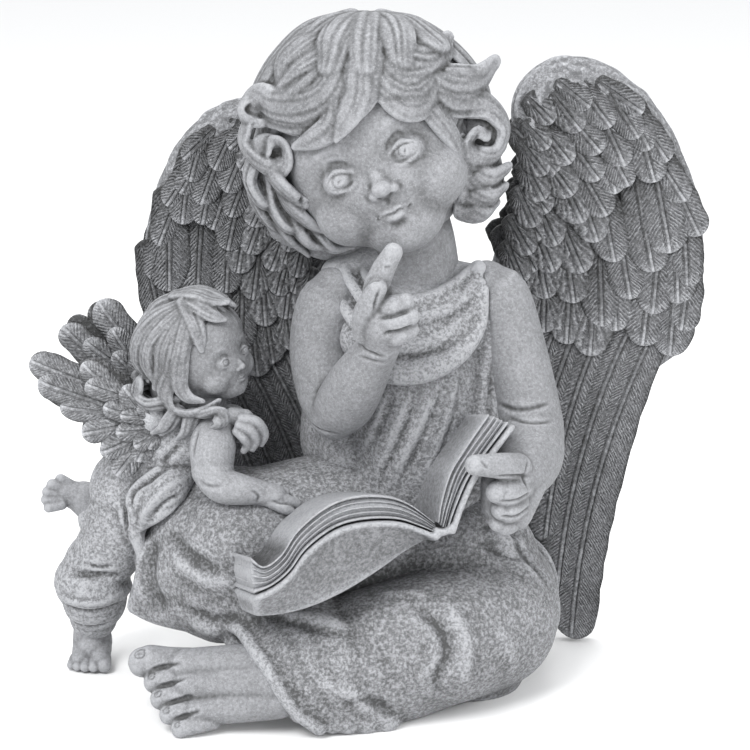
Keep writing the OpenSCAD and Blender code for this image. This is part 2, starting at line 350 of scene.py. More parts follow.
class Sheet:
    # One material's nodes.
    def __init__(self, name):
        self.material = bpy.data.materials.new(name)
        self.material.use_nodes = True
        self.tree = self.material.node_tree
        self.shader = self.tree.nodes["Principled BSDF"]
        self.place = self.add("ShaderNodeTexCoord", {}, output="Object")

    def join(self, value, socket):
        # A wire is linked to the socket, and a number or colour is set on it.
        if isinstance(value, Wire):
            self.tree.links.new(value.socket, socket)
        else:
            socket.default_value = value

    def add(self, kind, settings, *values, output=0, **named):
        # A node of a kind: its settings first, then its sockets in order or by name.
        node = self.tree.nodes.new(kind)
        for key, value in settings.items():
            setattr(node, key, value)
        for socket, value in zip(node.inputs, values):
            self.join(value, socket)
        for key, value in named.items():
            self.join(value, node.inputs[key.replace("_", " ")])
        return Wire(self, node.outputs[output])

    def noise(self, scale, detail=3.0, roughness=0.55, warp=0.0):
        # Cloudy noise between 0 and 1, with its scale in cycles to a metre.
        return self.add("ShaderNodeTexNoise", {}, Vector=self.place, Scale=scale, Detail=detail,
                        Roughness=roughness, Distortion=warp)

    def blend(self, amount, first, second):
        # first * (1 - amount) + second * amount, for colours.
        node = self.tree.nodes.new("ShaderNodeMix")
        node.data_type = "RGBA"
        self.join(amount, node.inputs["Factor"])
        self.join(first, node.inputs["A"])
        self.join(second, node.inputs["B"])
        return Wire(self, node.outputs["Result"])


def grey(level, warm=0.0):
    # A cool grey in linear light; warm moves it from blue towards olive.
    return (level * (0.975 + 0.6 * warm), level * (0.99 + 0.5 * warm), level * (1.035 - warm), 1.0)


def castResin(name, dark, middle, light, speckle, grain, pitting, mottle=0.3, warmth=0.02, barbs=0.0):
    # Weathered stone look. The level is how far a place stands out, plus blotches a millimetre wide, broader
    # patches and, on feathers, a wave across each barb and a pale shaft between two dark lines. The colour
    # goes from dark through middle to light with the level, then small pits and pale flecks. So hollows carry
    # painted shade and ridges carry a painted highlight, on top of the statue's own dry-brushed dark hollows
    # and pale ridges. The barb wave and the shaft's lines are painted light and shade of the feather's relief
    # in the same way.
    s = Sheet(name)
    relief = s.add("ShaderNodeAttribute", {"attribute_name": "relief"}, output="Fac")
    bare = s.add("ShaderNodeAttribute", {"attribute_name": "bare"}, output="Fac")
    blotch = s.noise(700.0, 4.0, 0.65)
    broad = s.noise(60.0, 3.0, 0.5)
    streak = s.noise(230.0, 4.0, 0.6, 0.8)
    fleck = s.noise(1300.0, 2.0, 0.6)
    spots = (blotch.ramp(0.4, 0.6) - 0.5) * (speckle * (1 - bare * 0.55))
    level = relief + spots + bare * 0.12 + (broad - 0.5) * 0.35 + (streak - 0.5) * mottle
    height = blotch.ramp(0.42, 0.58) * 0.45 + fleck * 0.3
    # The barb wave, the pale shaft and the two dark lines beside it are painted highlight and painted shade
    # of the feather's ridges and grooves. Dry brushing that catches the raised barbs is part of it too.
    if barbs:
        barb = s.add("ShaderNodeAttribute", {"attribute_name": "barb"}, output="Vector")
        split = s.add("ShaderNodeSeparateXYZ", {}, barb).socket.node
        along, off, keep = (Wire(s, split.outputs[axis]) for axis in "XYZ")
        phase = along + streak * 1.6 + blotch * 0.5
        wave = (phase * 6.2832).math("SINE")
        comb = wave * keep * off.ramp(0.9, 1.9) * (streak.ramp(0.36, 0.62) * 1.1 + 0.15)
        line = keep * (1 - off.ramp(0.35, 0.8))
        dent = keep * off.ramp(0.6, 0.95) * (1 - off.ramp(1.25, 1.8))
        level = level + comb * barbs + line * (0.9 * barbs) - dent * (1.1 * barbs)
        height = height + comb * 0.8 + line * 1.0 - dent * 1.2
    # Low levels take the dark colour as painted shade in hollows, and high levels take the light one as a
    # painted highlight on ridges, together with the dry-brushed finish.
    colour = s.blend(level.ramp(0.0, 0.5), grey(dark, warmth), grey(middle))
    colour = s.blend(level.ramp(0.5, 1.0), colour, grey(light))
    sheltered = 1 - relief.ramp(0.6, 1.0) * 0.5
    pits = s.noise(820.0, 3.0, 0.6, 0.5).ramp(0.55, 0.63) * ((1 - bare * 0.7) * pitting) * sheltered
    colour = s.blend(pits, colour, grey(dark * 1.3, warmth))
    flecks = (fleck + relief * 0.3).ramp(0.74, 0.84) * (0.3 + 0.4 * pitting)
    colour = s.blend(flecks, colour, grey(light * 1.15))
    s.join(colour, s.shader.inputs["Base Color"])
    s.join(0.68 + (blotch - 0.5) * 0.3, s.shader.inputs["Roughness"])
    s.shader.inputs["Specular IOR Level"].default_value = 0.3
    height = height - pits * 0.6
    bump = s.add("ShaderNodeBump", {}, Strength=grain, Distance=0.0006, Height=height, output="Normal")
    s.join(bump, s.shader.inputs["Normal"])
    return s.material


resinLooks = {
    "cloth": {"dark": 0.06, "middle": 0.18, "light": 0.35, "speckle": 0.6, "grain": 0.7, "pitting": 0.45,
        "mottle": 0.5},
    "skin": {"dark": 0.06, "middle": 0.18, "light": 0.31, "speckle": 0.22, "grain": 0.4, "pitting": 0.25,
        "mottle": 0.4},
    "feather": {"dark": 0.035, "middle": 0.16, "light": 0.40, "speckle": 0.3, "grain": 0.9,
        "pitting": 0.2, "mottle": 0.6, "barbs": 0.2},
    "hair": {"dark": 0.02, "middle": 0.135, "light": 0.30, "speckle": 0.2, "grain": 0.4, "pitting": 0.15,
        "mottle": 0.35, "warmth": 0.05},
    "paleFeather": {"dark": 0.05, "middle": 0.21, "light": 0.44, "speckle": 0.35, "grain": 0.9,
        "pitting": 0.25, "mottle": 0.5, "barbs": 0.16},
    "page": {"dark": 0.03, "middle": 0.16, "light": 0.32, "speckle": 0.35, "grain": 0.4, "pitting": 0.25},
    "plug": {"dark": 0.04, "middle": 0.1, "light": 0.18, "speckle": 0.6, "grain": 0.6, "pitting": 0.4},
}
resin = {key: castResin(key + "Resin", **look) for key, look in resinLooks.items()}
print("finishes ready")


wingLayout = {
    # [tip x, tip z, length, width, direction in degrees, fan barbs 0 or 1], from the lowest layer up
    "flight": [[58, 104, 70, 17, -108, 0], [62, 90, 84, 18, -109, 0], [66, 70, 104, 18, -109, 0],
        [71, 46, 128, 19, -108, 0], [78, 22, 152, 20, -107, 0], [86, 2, 172, 22, -106, 0]],
    "bows": [-1, -2, -4, -6, -8, -10],        # how far each flight feather's middle bends inwards
    "mirror": {"shift": [26, 8], "size": 0.93, "turn": -7, "root": [14, 150]},
    "rows": [[[126, 130, 46, 19, -93, 0], [114, 134, 44, 18, -92, 0], [104, 140, 42, 17, -88, 0],
        [92, 129, 34, 19, -88, 1], [82, 134, 30, 18, -92, 1], [72, 139, 26, 16, -92, 1],
        [64, 147, 24, 15, -88, 1], [132, 140, 44, 15, -94, 0]], [[129, 153, 42, 18, -90, 0],
        [108, 154, 44, 17, -88, 0], [97, 142, 34, 17, -85, 0], [85, 152, 30, 17, -84, 1],
        [74, 154, 26, 16, -80, 1], [119, 148, 44, 16, -90, 0], [64, 158, 22, 15, -76, 1],
        [134, 160, 40, 15, -90, 0]], [[117, 166, 48, 19, -78, 0], [101, 170, 38, 17, -78, 0],
        [88, 165, 26, 17, -74, 1], [77, 166, 24, 16, -66, 1], [69, 166, 22, 16, -56, 1],
        [136, 182, 40, 14, -70, 0], [62, 168, 20, 14, -54, 1]], [[126, 175, 46, 21, -80, 0],
        [95, 179, 28, 17, -68, 1], [77, 177, 22, 17, -60, 1], [71, 180, 20, 15, -56, 1],
        [131, 197, 36, 13, -62, 0]], [[88, 187, 24, 18, -60, 1], [98, 190, 26, 16, -62, 0],
        [103, 200, 30, 16, -66, 0], [73, 191, 20, 17, -56, 1], [72, 198, 18, 13, -52, 1]],
        [[118, 205, 34, 17, -69, 0], [107, 203, 28, 14, -66, 0], [84, 199, 22, 17, -54, 1],
        [94, 205, 24, 14, -58, 0], [77, 208, 20, 14, -50, 1], [123, 214, 28, 13, -54, 0]],
        [[106, 212, 30, 15, -66, 0], [95, 217, 30, 15, -54, 0], [82, 212, 20, 15, -48, 1],
        [70, 217, 18, 15, -46, 1], [116, 219, 24, 13, -58, 0]], [[99, 228, 24, 15, -52, 0],
        [86, 226, 20, 14, -48, 1], [111, 224, 24, 14, -58, 0], [75, 230, 16, 13, -40, 1],
        [112, 234, 22, 11, -40, 0], [90, 236, 18, 12, -36, 0]], [[60, 150, 18, 13, -70, 1],
        [63, 162, 18, 13, -66, 1], [66, 174, 18, 13, -62, 1], [68, 186, 18, 13, -60, 1],
        [71, 197, 18, 13, -58, 1], [72, 208, 17, 13, -56, 1], [73, 219, 16, 12, -50, 1]]],
    "arm": [[56, 160, 8], [64, 184, 8], [70, 210, 9.5], [68, 234, 10], [76, 246, 9.5], [92, 245, 9.5],
        [108, 235, 8.5], [120, 222, 6.5], [129, 208, 4]],
    "plate": [[[62, 140, 15], [76, 190, 14], [83, 226, 15], [98, 228, 16], [116, 206, 17], [124, 176, 16],
        [118, 140, 16], [92, 138, 20], [84, 180, 26]], [[60, 150, 14], [64, 116, 14], [70, 84, 11],
        [78, 50, 10], [84, 16, 8]], [[110, 136, 12], [97, 92, 7], [86, 50, 7], [82, 14, 6]]],
    "root": [[32, 36, 144, 12], [46, 46, 148, 11], [58, 54, 152, 7]],
    "thickness": 1.9,
    "lift": 1.0,
}


def wingDepth(x, z, spread):
    # The wing's middle surface: it leans back as it rises, and cups forward towards its outer edge.
    return 45 + 0.06 * z - 9.0 * ((np.abs(x) - 70 * spread) / 75) ** 2 * (np.abs(x) > 70 * spread)


def featherShells(table, depth, facing, along=34, across=13, under=5, seed=1, bows=0):
    # Every feather at once, as a flattened shell: s runs from root to tip and t across.
    # Half width is width / 2 * (narrow root) * (round tip). Height is the feather's own base, plus its tip's
    # lift, plus camber * sqrt(1 - t ** 2), plus a raised shaft between two fine grooves.
    rng = np.random.default_rng(seed)
    f = np.asarray(table, float)
    tipX, tipZ, length, width, turn, fan, base = f.T[:, :, None, None]
    n = len(f)
    turn = np.radians(turn + rng.uniform(-7, 7, (n, 1, 1)) * (length < 60))
    length = length * (1 + rng.uniform(-0.08, 0.1, (n, 1, 1)) * (length < 60))
    s = (0.5 - 0.5 * np.cos(np.pi * np.linspace(0, 1, along) ** 0.9))[None, :, None]
    top = -np.cos(np.pi * np.linspace(0, 1, across))
    low = np.cos(np.pi * np.linspace(0, 1, under + 2))[1:-1]
    t = np.r_[top, low][None, None, :]
    above = np.r_[np.ones(across), np.zeros(under)][None, None, :]
    blunt = 1 - 0.62 * width / length
    end = np.sqrt(np.clip(1 - (np.clip((s - blunt) / (1 - blunt), 0, 1)) ** 2, 0, 1))
    start = np.clip(s / 0.06, 0, 1) ** 0.5
    half = 0.5 * width * (0.62 + 0.38 * np.clip(s / 0.55, 0, 1)) * end * start
    wobble = 0.3 * np.sin(s * length / 2.1 + rng.uniform(0, 6, (n, 1, 1))) * (s > 0.3)
    x = t * (half + wobble * end * start)
    y = s * length
    bow = np.zeros(n) + bows
    bend = 0.04 * length * rng.uniform(-1, 1, (n, 1, 1)) * s ** 2 + 4 * bow[:, None, None] * s * (1 - s)
    tip = np.clip((s - 0.15) / 0.85, 0, 1)
    lift = base + 1.7 * tip ** 1.3
    camber = 1.5 * np.sqrt(np.clip(1 - t ** 2, 0, 1)) * (0.6 + 0.4 * end) * end
    off = np.abs(x)
    shaft = np.clip(s / 0.1, 0, 1) * np.clip((0.86 - s) / 0.15, 0, 1)
    shaftGap = 0.30 + 0.022 * width * 2
    groove = 0.75 * np.exp(-((off - shaftGap - 0.35) / 0.38) ** 2)
    shaftLine = shaft * (0.35 * np.exp(-(off / 0.5) ** 2) - groove)
    pitch = 1.8 + 0.3 * rng.uniform(-1, 1, (n, 1, 1))
    plain = (y - 1.1 * off) / pitch
    fanned = np.arctan2(off, y - 0.35 * length + 4) * 5.2
    phase = np.where(fan > 0, fanned, plain)
    keep = above * np.clip(s / 0.15, 0, 1) * np.clip((1 - s) / 0.03, 0, 1)
    belly = 1.1 * np.sqrt(1 - np.clip(t, -1, 1) ** 2)
    cover = lift + above * (camber + shaftLine * end) - (1 - above) * belly
    rootX = tipX - length * np.cos(turn)
    rootZ = tipZ - length * np.sin(turn)
    px = rootX + y * np.cos(turn) - (x + bend) * np.sin(turn)
    pz = rootZ + y * np.sin(turn) + (x + bend) * np.cos(turn)
    py = depth(px, pz) - facing * cover
    verts = np.stack(np.broadcast_arrays(px, py, pz), axis=-1)
    rows, cols = along, across + under
    quads = gridQuads(rows, cols)[None] + (np.arange(n) * rows * cols)[:, None, None]
    # The colour is darkest at the roots, as painted shade where the feather above overlaps, and on the
    # underside, as painted shade under the feather. It is lightest on tips, as the statue's own dry brushing
    # is. The barbs' phase, the distance from the shaft and where they show go with it.
    dryBrushAndShade = (0.5 * (s - 0.6) * np.clip(1.6 - length / 60, 0.15, 1) + 0.05 * (length > 60)
            + 0.22 * np.clip((s - 0.88) / 0.08, 0, 1)) * above - 0.25 * (1 - above)
    shades = [np.broadcast_to(a, px.shape).ravel() for a in (dryBrushAndShade, phase, off, keep)]
    return verts.reshape(-1, 3), quads.reshape(-1, 4), np.stack(shades, axis=1)


def plainShade(count, dryBrushAndShade):
    # A part of a wing without barbs, with one level of painted shade for all its points.
    return np.tile([dryBrushAndShade, 0.0, 5.0, 0.0], (count, 1))


def featherMesh(name, parts, shades, node, look="feather"):
    # Shells become one mesh whose poles are merged; each point keeps its painted shade and dry-brush level
    # and its barbs.
    mesh = bareMesh(name, *joined(parts))
    shades = np.concatenate(shades)
    dryBrushAndShadeLevels, barbs = shades[:, 0].astype(np.float32), shades[:, 1:].astype(np.float32).ravel()
    mesh.attributes.new("shade", "FLOAT", "POINT").data.foreach_set("value", dryBrushAndShadeLevels)
    mesh.attributes.new("barb", "FLOAT_VECTOR", "POINT").data.foreach_set("vector", barbs)
    mesh = evaluated(mesh, ("WELD", {"merge_threshold": poleGap}))
    shade = np.empty(len(mesh.vertices), np.float32)
    mesh.attributes["shade"].data.foreach_get("value", shade)
    mesh.attributes.remove(mesh.attributes["shade"])
    return finish(name, mesh, resin[look], [node], shade.astype(float), 0.3)


def makeWing(name, node, spread, mirrored, seed):
    # Flight feathers and rows of coverts on both faces of a thin plate, with the bony arm over the top,
    # whose radius is 1 plus a sum of small waves round and along it.
    lay = wingLayout
    depth = lambda x, z: wingDepth(x, z, spread)
    rows = [[f + [0.2 + 0.25 * i] for i, f in enumerate(lay["flight"])]]
    for level, row in enumerate(lay["rows"]):
        rows.append([f + [2.6 + lay["lift"] * 0.75 * level + 0.2 * (i % 2)] for i, f in enumerate(row)])
    table = [f for row in rows for f in row]
    bows = [lay["bows"][k] if k < len(lay["bows"]) else 0 for k in range(len(table))]
    front = featherShells(table, depth, 1, seed=seed, bows=bows)
    back = featherShells(table, depth, -1, 26, 9, 3, seed + 7, bows)
    parts = [front[:2], (back[0], back[1][:, ::-1])]
    shades = [front[2], back[2]]
    for strip in lay["plate"]:
        p = np.array(strip, float)
        path = np.column_stack([p[:, 0], depth(p[:, 0], p[:, 1]) + 0.4, p[:, 1], p[:, 2]])
        parts.append(tube(path, 60, 28, out=(0, 1, 0), flat=lay["thickness"] / 16))
        # The plate strips between the feathers are painted dark, as painted shade where they lie recessed
        # behind the feathers.
        shades.append(plainShade(len(parts[-1][0]), -0.3))
    parts.append(tube(lay["root"], 40, 36, flat=0.8))
    shades.append(plainShade(len(parts[-1][0]), -0.05))
    p = np.array(lay["arm"], float)
    tuck = 6 * np.clip((218 - p[:, 1]) / 50, 0, 1)
    path = np.column_stack([p[:, 0], depth(p[:, 0], p[:, 1]) - 1 + tuck, p[:, 1], p[:, 2]])
    waves = np.random.default_rng(seed + 50).uniform([2, -110, 0], [12, 110, 6.3], (12, 3))
    rough = lambda a, s: 1 + sum(0.012 * np.sin(round(n) * a + m * s + shift) for n, m, shift in waves)
    parts.append(tube(path, 240, 64, out=(0, 1, 0), flat=0.85, groove=rough))
    shades.append(plainShade(len(parts[-1][0]), -0.05))
    verts, quads = joined(parts)
    verts[:, 0] = verts[:, 0] * spread
    if mirrored:
        # The other wing is the same layout mirrored, a little smaller and turned about its root.
        m = lay["mirror"]
        x = m["shift"][0] - verts[:, 0] * m["size"] - m["root"][0]
        z = verts[:, 2] * m["size"] + m["shift"][1] - m["root"][1]
        turn = math.radians(m["turn"])
        verts = np.column_stack([m["root"][0] + x * math.cos(turn) + z * math.sin(turn), verts[:, 1],
                                 m["root"][1] - x * math.sin(turn) + z * math.cos(turn)])
        quads = quads[:, ::-1]
    verts[:, 2] = np.maximum(verts[:, 2], 0.6)
    return featherMesh(name, [(verts, quads)], shades, node)


makeWing("leftWingFeathers", "left_wing", 1.0, False, 3)
makeWing("rightWingFeathers", "right_wing", 0.94, True, 11)


def worked(skin, strokes):
    # Folds and lines in turn: [width, height or depth, the points that it runs through].
    for width, depth, points in strokes:
        skin.stroke(points, width, depth)
    skin.settle()


def ridges(lines, width, depth, shift):
    # A fold is a ridge with a hollow beside it.
    out = []
    for line in lines:
        out.append([width, depth, line])
        out.append([0.6 * width, -0.9 * depth, [list(np.add(p[:3], shift)) for p in line]])
    return out


# The face is a plain child's: eyes just under the middle of the head, a short nose and a small mouth.
faceShape = {
    "balls": [[[0, 2, -4], [34, 36, 33]], [[0, 9, 4.5], [27.5, 24, 25]], [[0, -8, 5], [27.5, 24, 24]],
        [[0, -18, 12], [17, 13, 14.5]], [[13.5, -15.5, 11.5], [13.5, 12.5, 13]], [[-13.5, -15.5, 11.5],
        [13.5, 12.5, 13]], [[0, -25, 11], [15, 11.5, 14]], [[0, -29.5, 17], [7.5, 6, 7]]],
    "features": [[[12, -5.5, 20.9], [6.4, 6.0, 6.4]], [[-12, -5.5, 20.9], [6.4, 6.0, 6.4]],
        [[0, -13.4, 28.4], [3.4, 2.9, 3.5]], [[3.1, -14.6, 26.8], [2.2, 2.0, 2.6]], [[-3.1, -14.6, 26.8],
        [2.2, 2.0, 2.6]]],
    "tubes": [[[0, 2, 24.6, 2.4], [0, -5, 25.6, 2.4], [0, -11, 27.4, 2.9]], [[-4.6, -21.8, 24.2, 0.8],
        [-2.2, -21.3, 25.2, 1.3], [0, -21.5, 25.5, 1.2], [2.2, -21.3, 25.2, 1.3],
        [4.6, -21.8, 24.2, 0.8]], [[-3.2, -23.2, 24.2, 1.1], [0, -23.7, 25, 1.7],
        [3.2, -23.2, 24.2, 1.1]]],
    "eye": [12, -5.5, 27],
    "upperLid": [[-6.4, -0.9], [-3.6, 2.3], [0, 3.7], [3.8, 2.6], [6.8, -0.6]],
    "lowerLid": [[-6.0, -1.5], [-2.8, -3.5], [0.4, -4.0], [3.9, -2.9], [6.4, -1.0]],
    "iris": 2.7,
    "lips": [[-5.4, -22.2, 25], [-2.2, -22.3, 27], [0, -22.6, 27], [2.2, -22.3, 27], [5.4, -22.2, 25]],
}


def asPart(mesh):
    # A fused skin's points and squares, ready to be fused again.
    corners = np.empty(len(mesh.loops), np.int32)
    mesh.loops.foreach_get("vertex_index", corners)
    return coords(mesh), corners.reshape(-1, 4)


def faceClay(size):
    # The head is melted smooth with hollows for the eyes before its features are set on it.
    base = Relief(fused([(v * size, q) for v, q in (ball(*b) for b in faceShape["balls"])], 0.8 * size, 30))
    for side in (1, -1):
        base.dab(np.multiply([side * 12, -4.5, 27], size), np.multiply([8.5, 5.5, 8], size), -2.2 * size)
        base.dab(np.multiply([side * 13, 5.5, 26], size), np.multiply([9, 3.2, 8], size), 0.7 * size)
    base.settle()
    verts, quads = asPart(base.mesh)
    parts = [(verts / size, quads)] + [ball(*b) for b in faceShape["features"]]
    return parts + [tube(line, 24, 16) for line in faceShape["tubes"]]


def faceStrokes(size):
    # Lids, irises, nostrils and the line between the lips, in the head's own directions.
    ex, ey, ez = faceShape["eye"]
    out = []
    for side in (1, -1):
        upper = [[side * (ex + a), ey + b, ez] for a, b in faceShape["upperLid"]]
        lower = [[side * (ex + a), ey + b, ez] for a, b in faceShape["lowerLid"]]
        raised = [[x, y + 2.3, z] for x, y, z in upper]
        inner = [[side * ex + (x - side * ex) * 0.82, ey + (y - ey) * 0.66, z] for x, y, z in upper]
        innerLow = [[side * ex + (x - side * ex) * 0.85, ey + (y - ey) * 0.72, z] for x, y, z in lower]
        out += [[1.1, 0.75, upper], [0.9, -0.55, raised], [0.9, 0.4, lower], [0.5, -0.6, inner],
                [0.5, -0.35, innerLow]]
        turn = np.linspace(0, 2 * np.pi, 9)
        ring = [[side * ex + faceShape["iris"] * c, ey - 0.2 + faceShape["iris"] * d, ez + 1]
                for c, d in zip(np.cos(turn), np.sin(turn))]
        pupil = [[side * ex - 0.5, ey - 0.2, ez], [side * ex + 0.5, ey - 0.2, ez]]
        out += [[0.45, -0.28, ring], [0.8, -0.4, pupil]]
        out += [[1.3, 0.3, [[side * (ex + a), ey + b, ez] for a, b in ((-6, 8.8), (0, 11), (8, 8.8))]]]
        out += [[0.7, -0.5, [[side * 1.7, -16.8, 28.6], [side * 2.6, -16.6, 28]]],
                [0.8, -0.3, [[side * 4.9, -12.4, 27], [side * 5.7, -14.6, 27], [side * 5.2, -16.6, 26]]],
                [1.1, -0.35, [[side * 5.2, -22, 25], [side * 6.2, -21.8, 25]]]]
    out += [[0.5, -0.5, faceShape["lips"]], [1.0, -0.35, [[0, -17, 28], [0, -19.8, 27]]],
            [1.8, -0.5, [[-4, -26.2, 26], [0, -26.6, 26], [4, -26.2, 26]]]]
    return [[w * size, d * size, np.array(line)] for w, d, line in out]


def makeFace(name, place, rings, node):
    # The head at its place, tilt and size, fused with its neck; the points and directions of its skin are
    # given back for the hair to lie on.
    origin, size = np.asarray(place["origin"], float), place["size"]
    axes = ownAxes(place["up"], place["out"], size)
    neck = tube(place["neck"], *rings)
    skin = Relief(fused([carried(p, origin, axes) for p in faceClay(size)] + [neck], place["voxel"], 7))
    for width, depth, line in faceStrokes(size):
        skin.stroke(origin + line @ axes, width, depth)
    skin.settle()
    surface = skin.at.copy(), skin.normal.copy()
    finish(name, skin.mesh, resin["skin"], [node])
    return surface


def lifted(line, surface, share=0.25):
    # Points of a lock that lie under the skin rise to stand on it, by a share of the lock's radius.
    at, normal = surface
    out = np.array(line, float)
    for k, (x, y, z, r) in enumerate(out):
        near = np.argmin(((at - (x, y, z)) ** 2).sum(axis=1))
        height = ((x, y, z) - at[near]) @ normal[near]
        if height < share * r:
            out[k, :3] = at[near] + normal[near] * share * r
    return out


headPlace = {"origin": [0.5, 4, 226.5], "up": [-0.44, -0.06, 0.89], "out": [-0.14, -0.97, 0.14], "size": 1.2,
             "neck": [[17, 12, 172, 18], [15.5, 11, 188, 17], [10, 6, 205, 17]], "voxel": 0.7}
headSurface = makeFace("headSkin", headPlace, (24, 36), "head")


hairLayout = {
    "middle": [-2, 9, 240],
    "cap": [[-3, 14, 242], [39.5, 35, 38]],
    "front": [[[-8, 4, 277, 4], [-20, -2, 273, 6], [-29, -6, 269, 6.5], [-36, -8, 263, 5],
        [-38, -12, 254, 1.6]], [[-6, -4, 277, 4], [-15, -12, 271, 5.5], [-22, -13, 267, 5.5],
        [-30, -13, 262, 5], [-37, -14, 255, 1.6]], [[-3, -4, 278, 3.5], [-6, -17, 270, 4.6],
        [-6, -25, 261, 5], [-7, -29, 252, 5], [-11, -32, 244, 4], [-15, -33, 236, 1.2]], [[1, -4, 278, 3],
        [-1, -20, 268, 4.2], [-2, -26, 259, 4.4], [-5, -29, 250, 4], [-11, -32, 242, 1.4]],
        [[-13, -14, 269, 4], [-15, -22, 259, 6], [-20, -24, 251, 6.5], [-29, -20, 247, 6.5],
        [-39, -13, 247, 6], [-45, -10, 250, 4.6], [-50, -8, 249, 3.2], [-53, -9, 244, 2.6],
        [-50, -10, 240, 2.4], [-45, -11, 239, 1.8]], [[-10, -8, 274, 4], [-21, -13, 264, 7],
        [-31, -14, 255, 7.5], [-40, -10, 250, 5]], [[-17, -19, 261, 4], [-19, -25, 250, 5],
        [-24, -23, 242, 5], [-32, -17, 241, 5], [-41, -11, 241, 3.5]], [[-12, -21, 262, 4],
        [-14, -27, 250, 5], [-16, -30, 242, 4.6], [-23, -28, 236, 4], [-32, -19, 231, 1.4]],
        [[2, -4, 277, 3.5], [9, -14, 270, 6.5], [17, -14, 266, 7], [25, -6, 267, 5.5], [29, 0, 272, 2.4]],
        [[2, -9, 275, 3.5], [5, -20, 265, 5.5], [12, -21, 261, 6], [20, -15, 263, 5.5], [26, -8, 267, 3]],
        [[2, -17, 269, 3.5], [3, -24, 260, 5], [9, -26, 255, 5.5], [16, -23, 255, 5.5],
        [23, -15, 261, 2.5]], [[2, -23, 261, 3], [5, -27, 253, 4.2], [12, -28, 248, 4.8],
        [19, -24, 249, 4.5], [24, -17, 257, 2]], [[22, -12, 262, 3.5], [25, -14, 257, 6],
        [32, -11, 255, 7], [40, -6, 256, 5.5], [47, -2, 262, 3]], [[22, -16, 256, 4], [28, -15, 250, 6.5],
        [37, -9, 248, 6.5], [46, -7, 244, 5.5], [51, -6, 236, 5], [48, -8, 227, 4.2], [41, -12, 226, 3.8],
        [37, -13, 231, 3.2], [40, -13, 236, 2.6], [44, -12, 234, 2]], [[17, -24, 251, 3],
        [24, -22, 243, 4], [30, -18, 234, 3.6], [33, -14, 222, 1.2]], [[30, -10, 232, 2.4],
        [36, -12, 226, 4.6], [44, -9, 224, 5], [50, -4, 228, 3.2]], [[31, -9, 225, 2.4],
        [37, -11, 219, 4.8], [45, -8, 216, 5.2], [52, -2, 219, 3.4]], [[31, -8, 217, 2.4],
        [37, -9, 211, 4.8], [45, -6, 208, 5], [51, -1, 211, 3.2]], [[30, -7, 210, 2.4],
        [36, -7, 204, 4.8], [43, -4, 201, 4.6], [48, 0, 204, 2.8]], [[36, -2, 230, 6], [46, 0, 222, 7],
        [48, 2, 212, 6.5], [42, 3, 203, 4.5]], [[-50, -8, 240, 3.4], [-52, -6, 231, 4.4],
        [-47, -8, 224, 4.4], [-40, -12, 221, 4], [-35, -14, 225, 3.4], [-36, -14, 231, 2.8],
        [-41, -13, 232, 2.4], [-42, -14, 228, 1.8]], [[-43, -8, 222, 4.6], [-37, -11, 214, 5],
        [-29, -11, 208, 4], [-24, -10, 211, 1.6]], [[-39, -3, 217, 5], [-34, -5, 206, 5.8],
        [-26, -4, 198, 5], [-18, -3, 197, 2]], [[-47, 2, 226, 5], [-50, 3, 215, 6.2], [-45, 2, 205, 5.4],
        [-38, 1, 203, 2]], [[-43, 3, 215, 5], [-41, 3, 204, 6], [-35, 2, 195, 5.4], [-28, 0, 193, 2]],
        [[-36, 2, 207, 5], [-32, 3, 196, 6], [-26, 3, 188, 5], [-19, 2, 186, 2]], [[-29, 4, 204, 5],
        [-23, 4, 193, 6], [-17, 4, 186, 5], [-10, 4, 186, 2]], [[-48, 9, 222, 5], [-49, 11, 208, 6],
        [-43, 12, 196, 5.4], [-36, 12, 189, 2]], [[-42, 9, 202, 5], [-35, 10, 190, 5.6],
        [-28, 10, 182, 2]], [[-4, 7, 278.5, 5], [-10, -5, 277.5, 7], [-15, -14, 272, 7],
        [-17, -20, 264, 5]], [[-2, 7, 278.5, 5], [-3, -6, 278.5, 6.5], [-4, -16, 273, 6.5],
        [-4, -24, 264, 5]], [[0, 7, 278.5, 5], [6, -5, 277.5, 7], [9, -14, 273, 7], [10, -20, 266, 5]],
        [[2, 9, 278.5, 5], [13, 0, 276.5, 7.5], [22, -5, 271, 7]], [[-6, 9, 278.5, 5],
        [-18, 2, 276.5, 7.5], [-28, -3, 270, 7]], [[-12, 6, 279, 5], [-26, 4, 273, 8], [-37, 2, 262, 9],
        [-44, 0, 252, 8], [-48, -2, 245, 5]], [[5, 4, 279, 5], [17, 4, 274, 8], [28, 5, 267, 8],
        [36, 5, 259, 8], [42, 3, 250, 7], [44, 2, 238, 6]]],
    "backing": [[[44, -6, 235], [8.5, 4, 11]], [[-43, -9, 228], [7, 3.6, 7]], [[-47, -8, 244.5],
        [5, 3, 4]], [[-30, 14, 202], [17, 9, 19]], [[36, 5, 215], [9, 8, 16]], [[-40, 8, 222],
        [10, 10, 20]], [[-18, 15, 191], [16, 8, 13]], [[2, 14, 226], [39, 34, 36]], [[-1, 1, 261],
        [27, 25, 17.5]], [[-9, 16, 188], [15, 8, 15]]],
    "frontBacking": 3,                        # so many of these fill in behind the front locks
    "backLocks": 13,
    "backMiddle": [-2, 13, 236],
    "reach": 40.0,
}
# Degrees down from the crown at which each tier of back locks starts and ends, and its width
backTiers = ((8, 66, 8.5), (42, 100, 8.5), (76, 130, 8), (104, 158, 7.5))
lockGrooves = 11


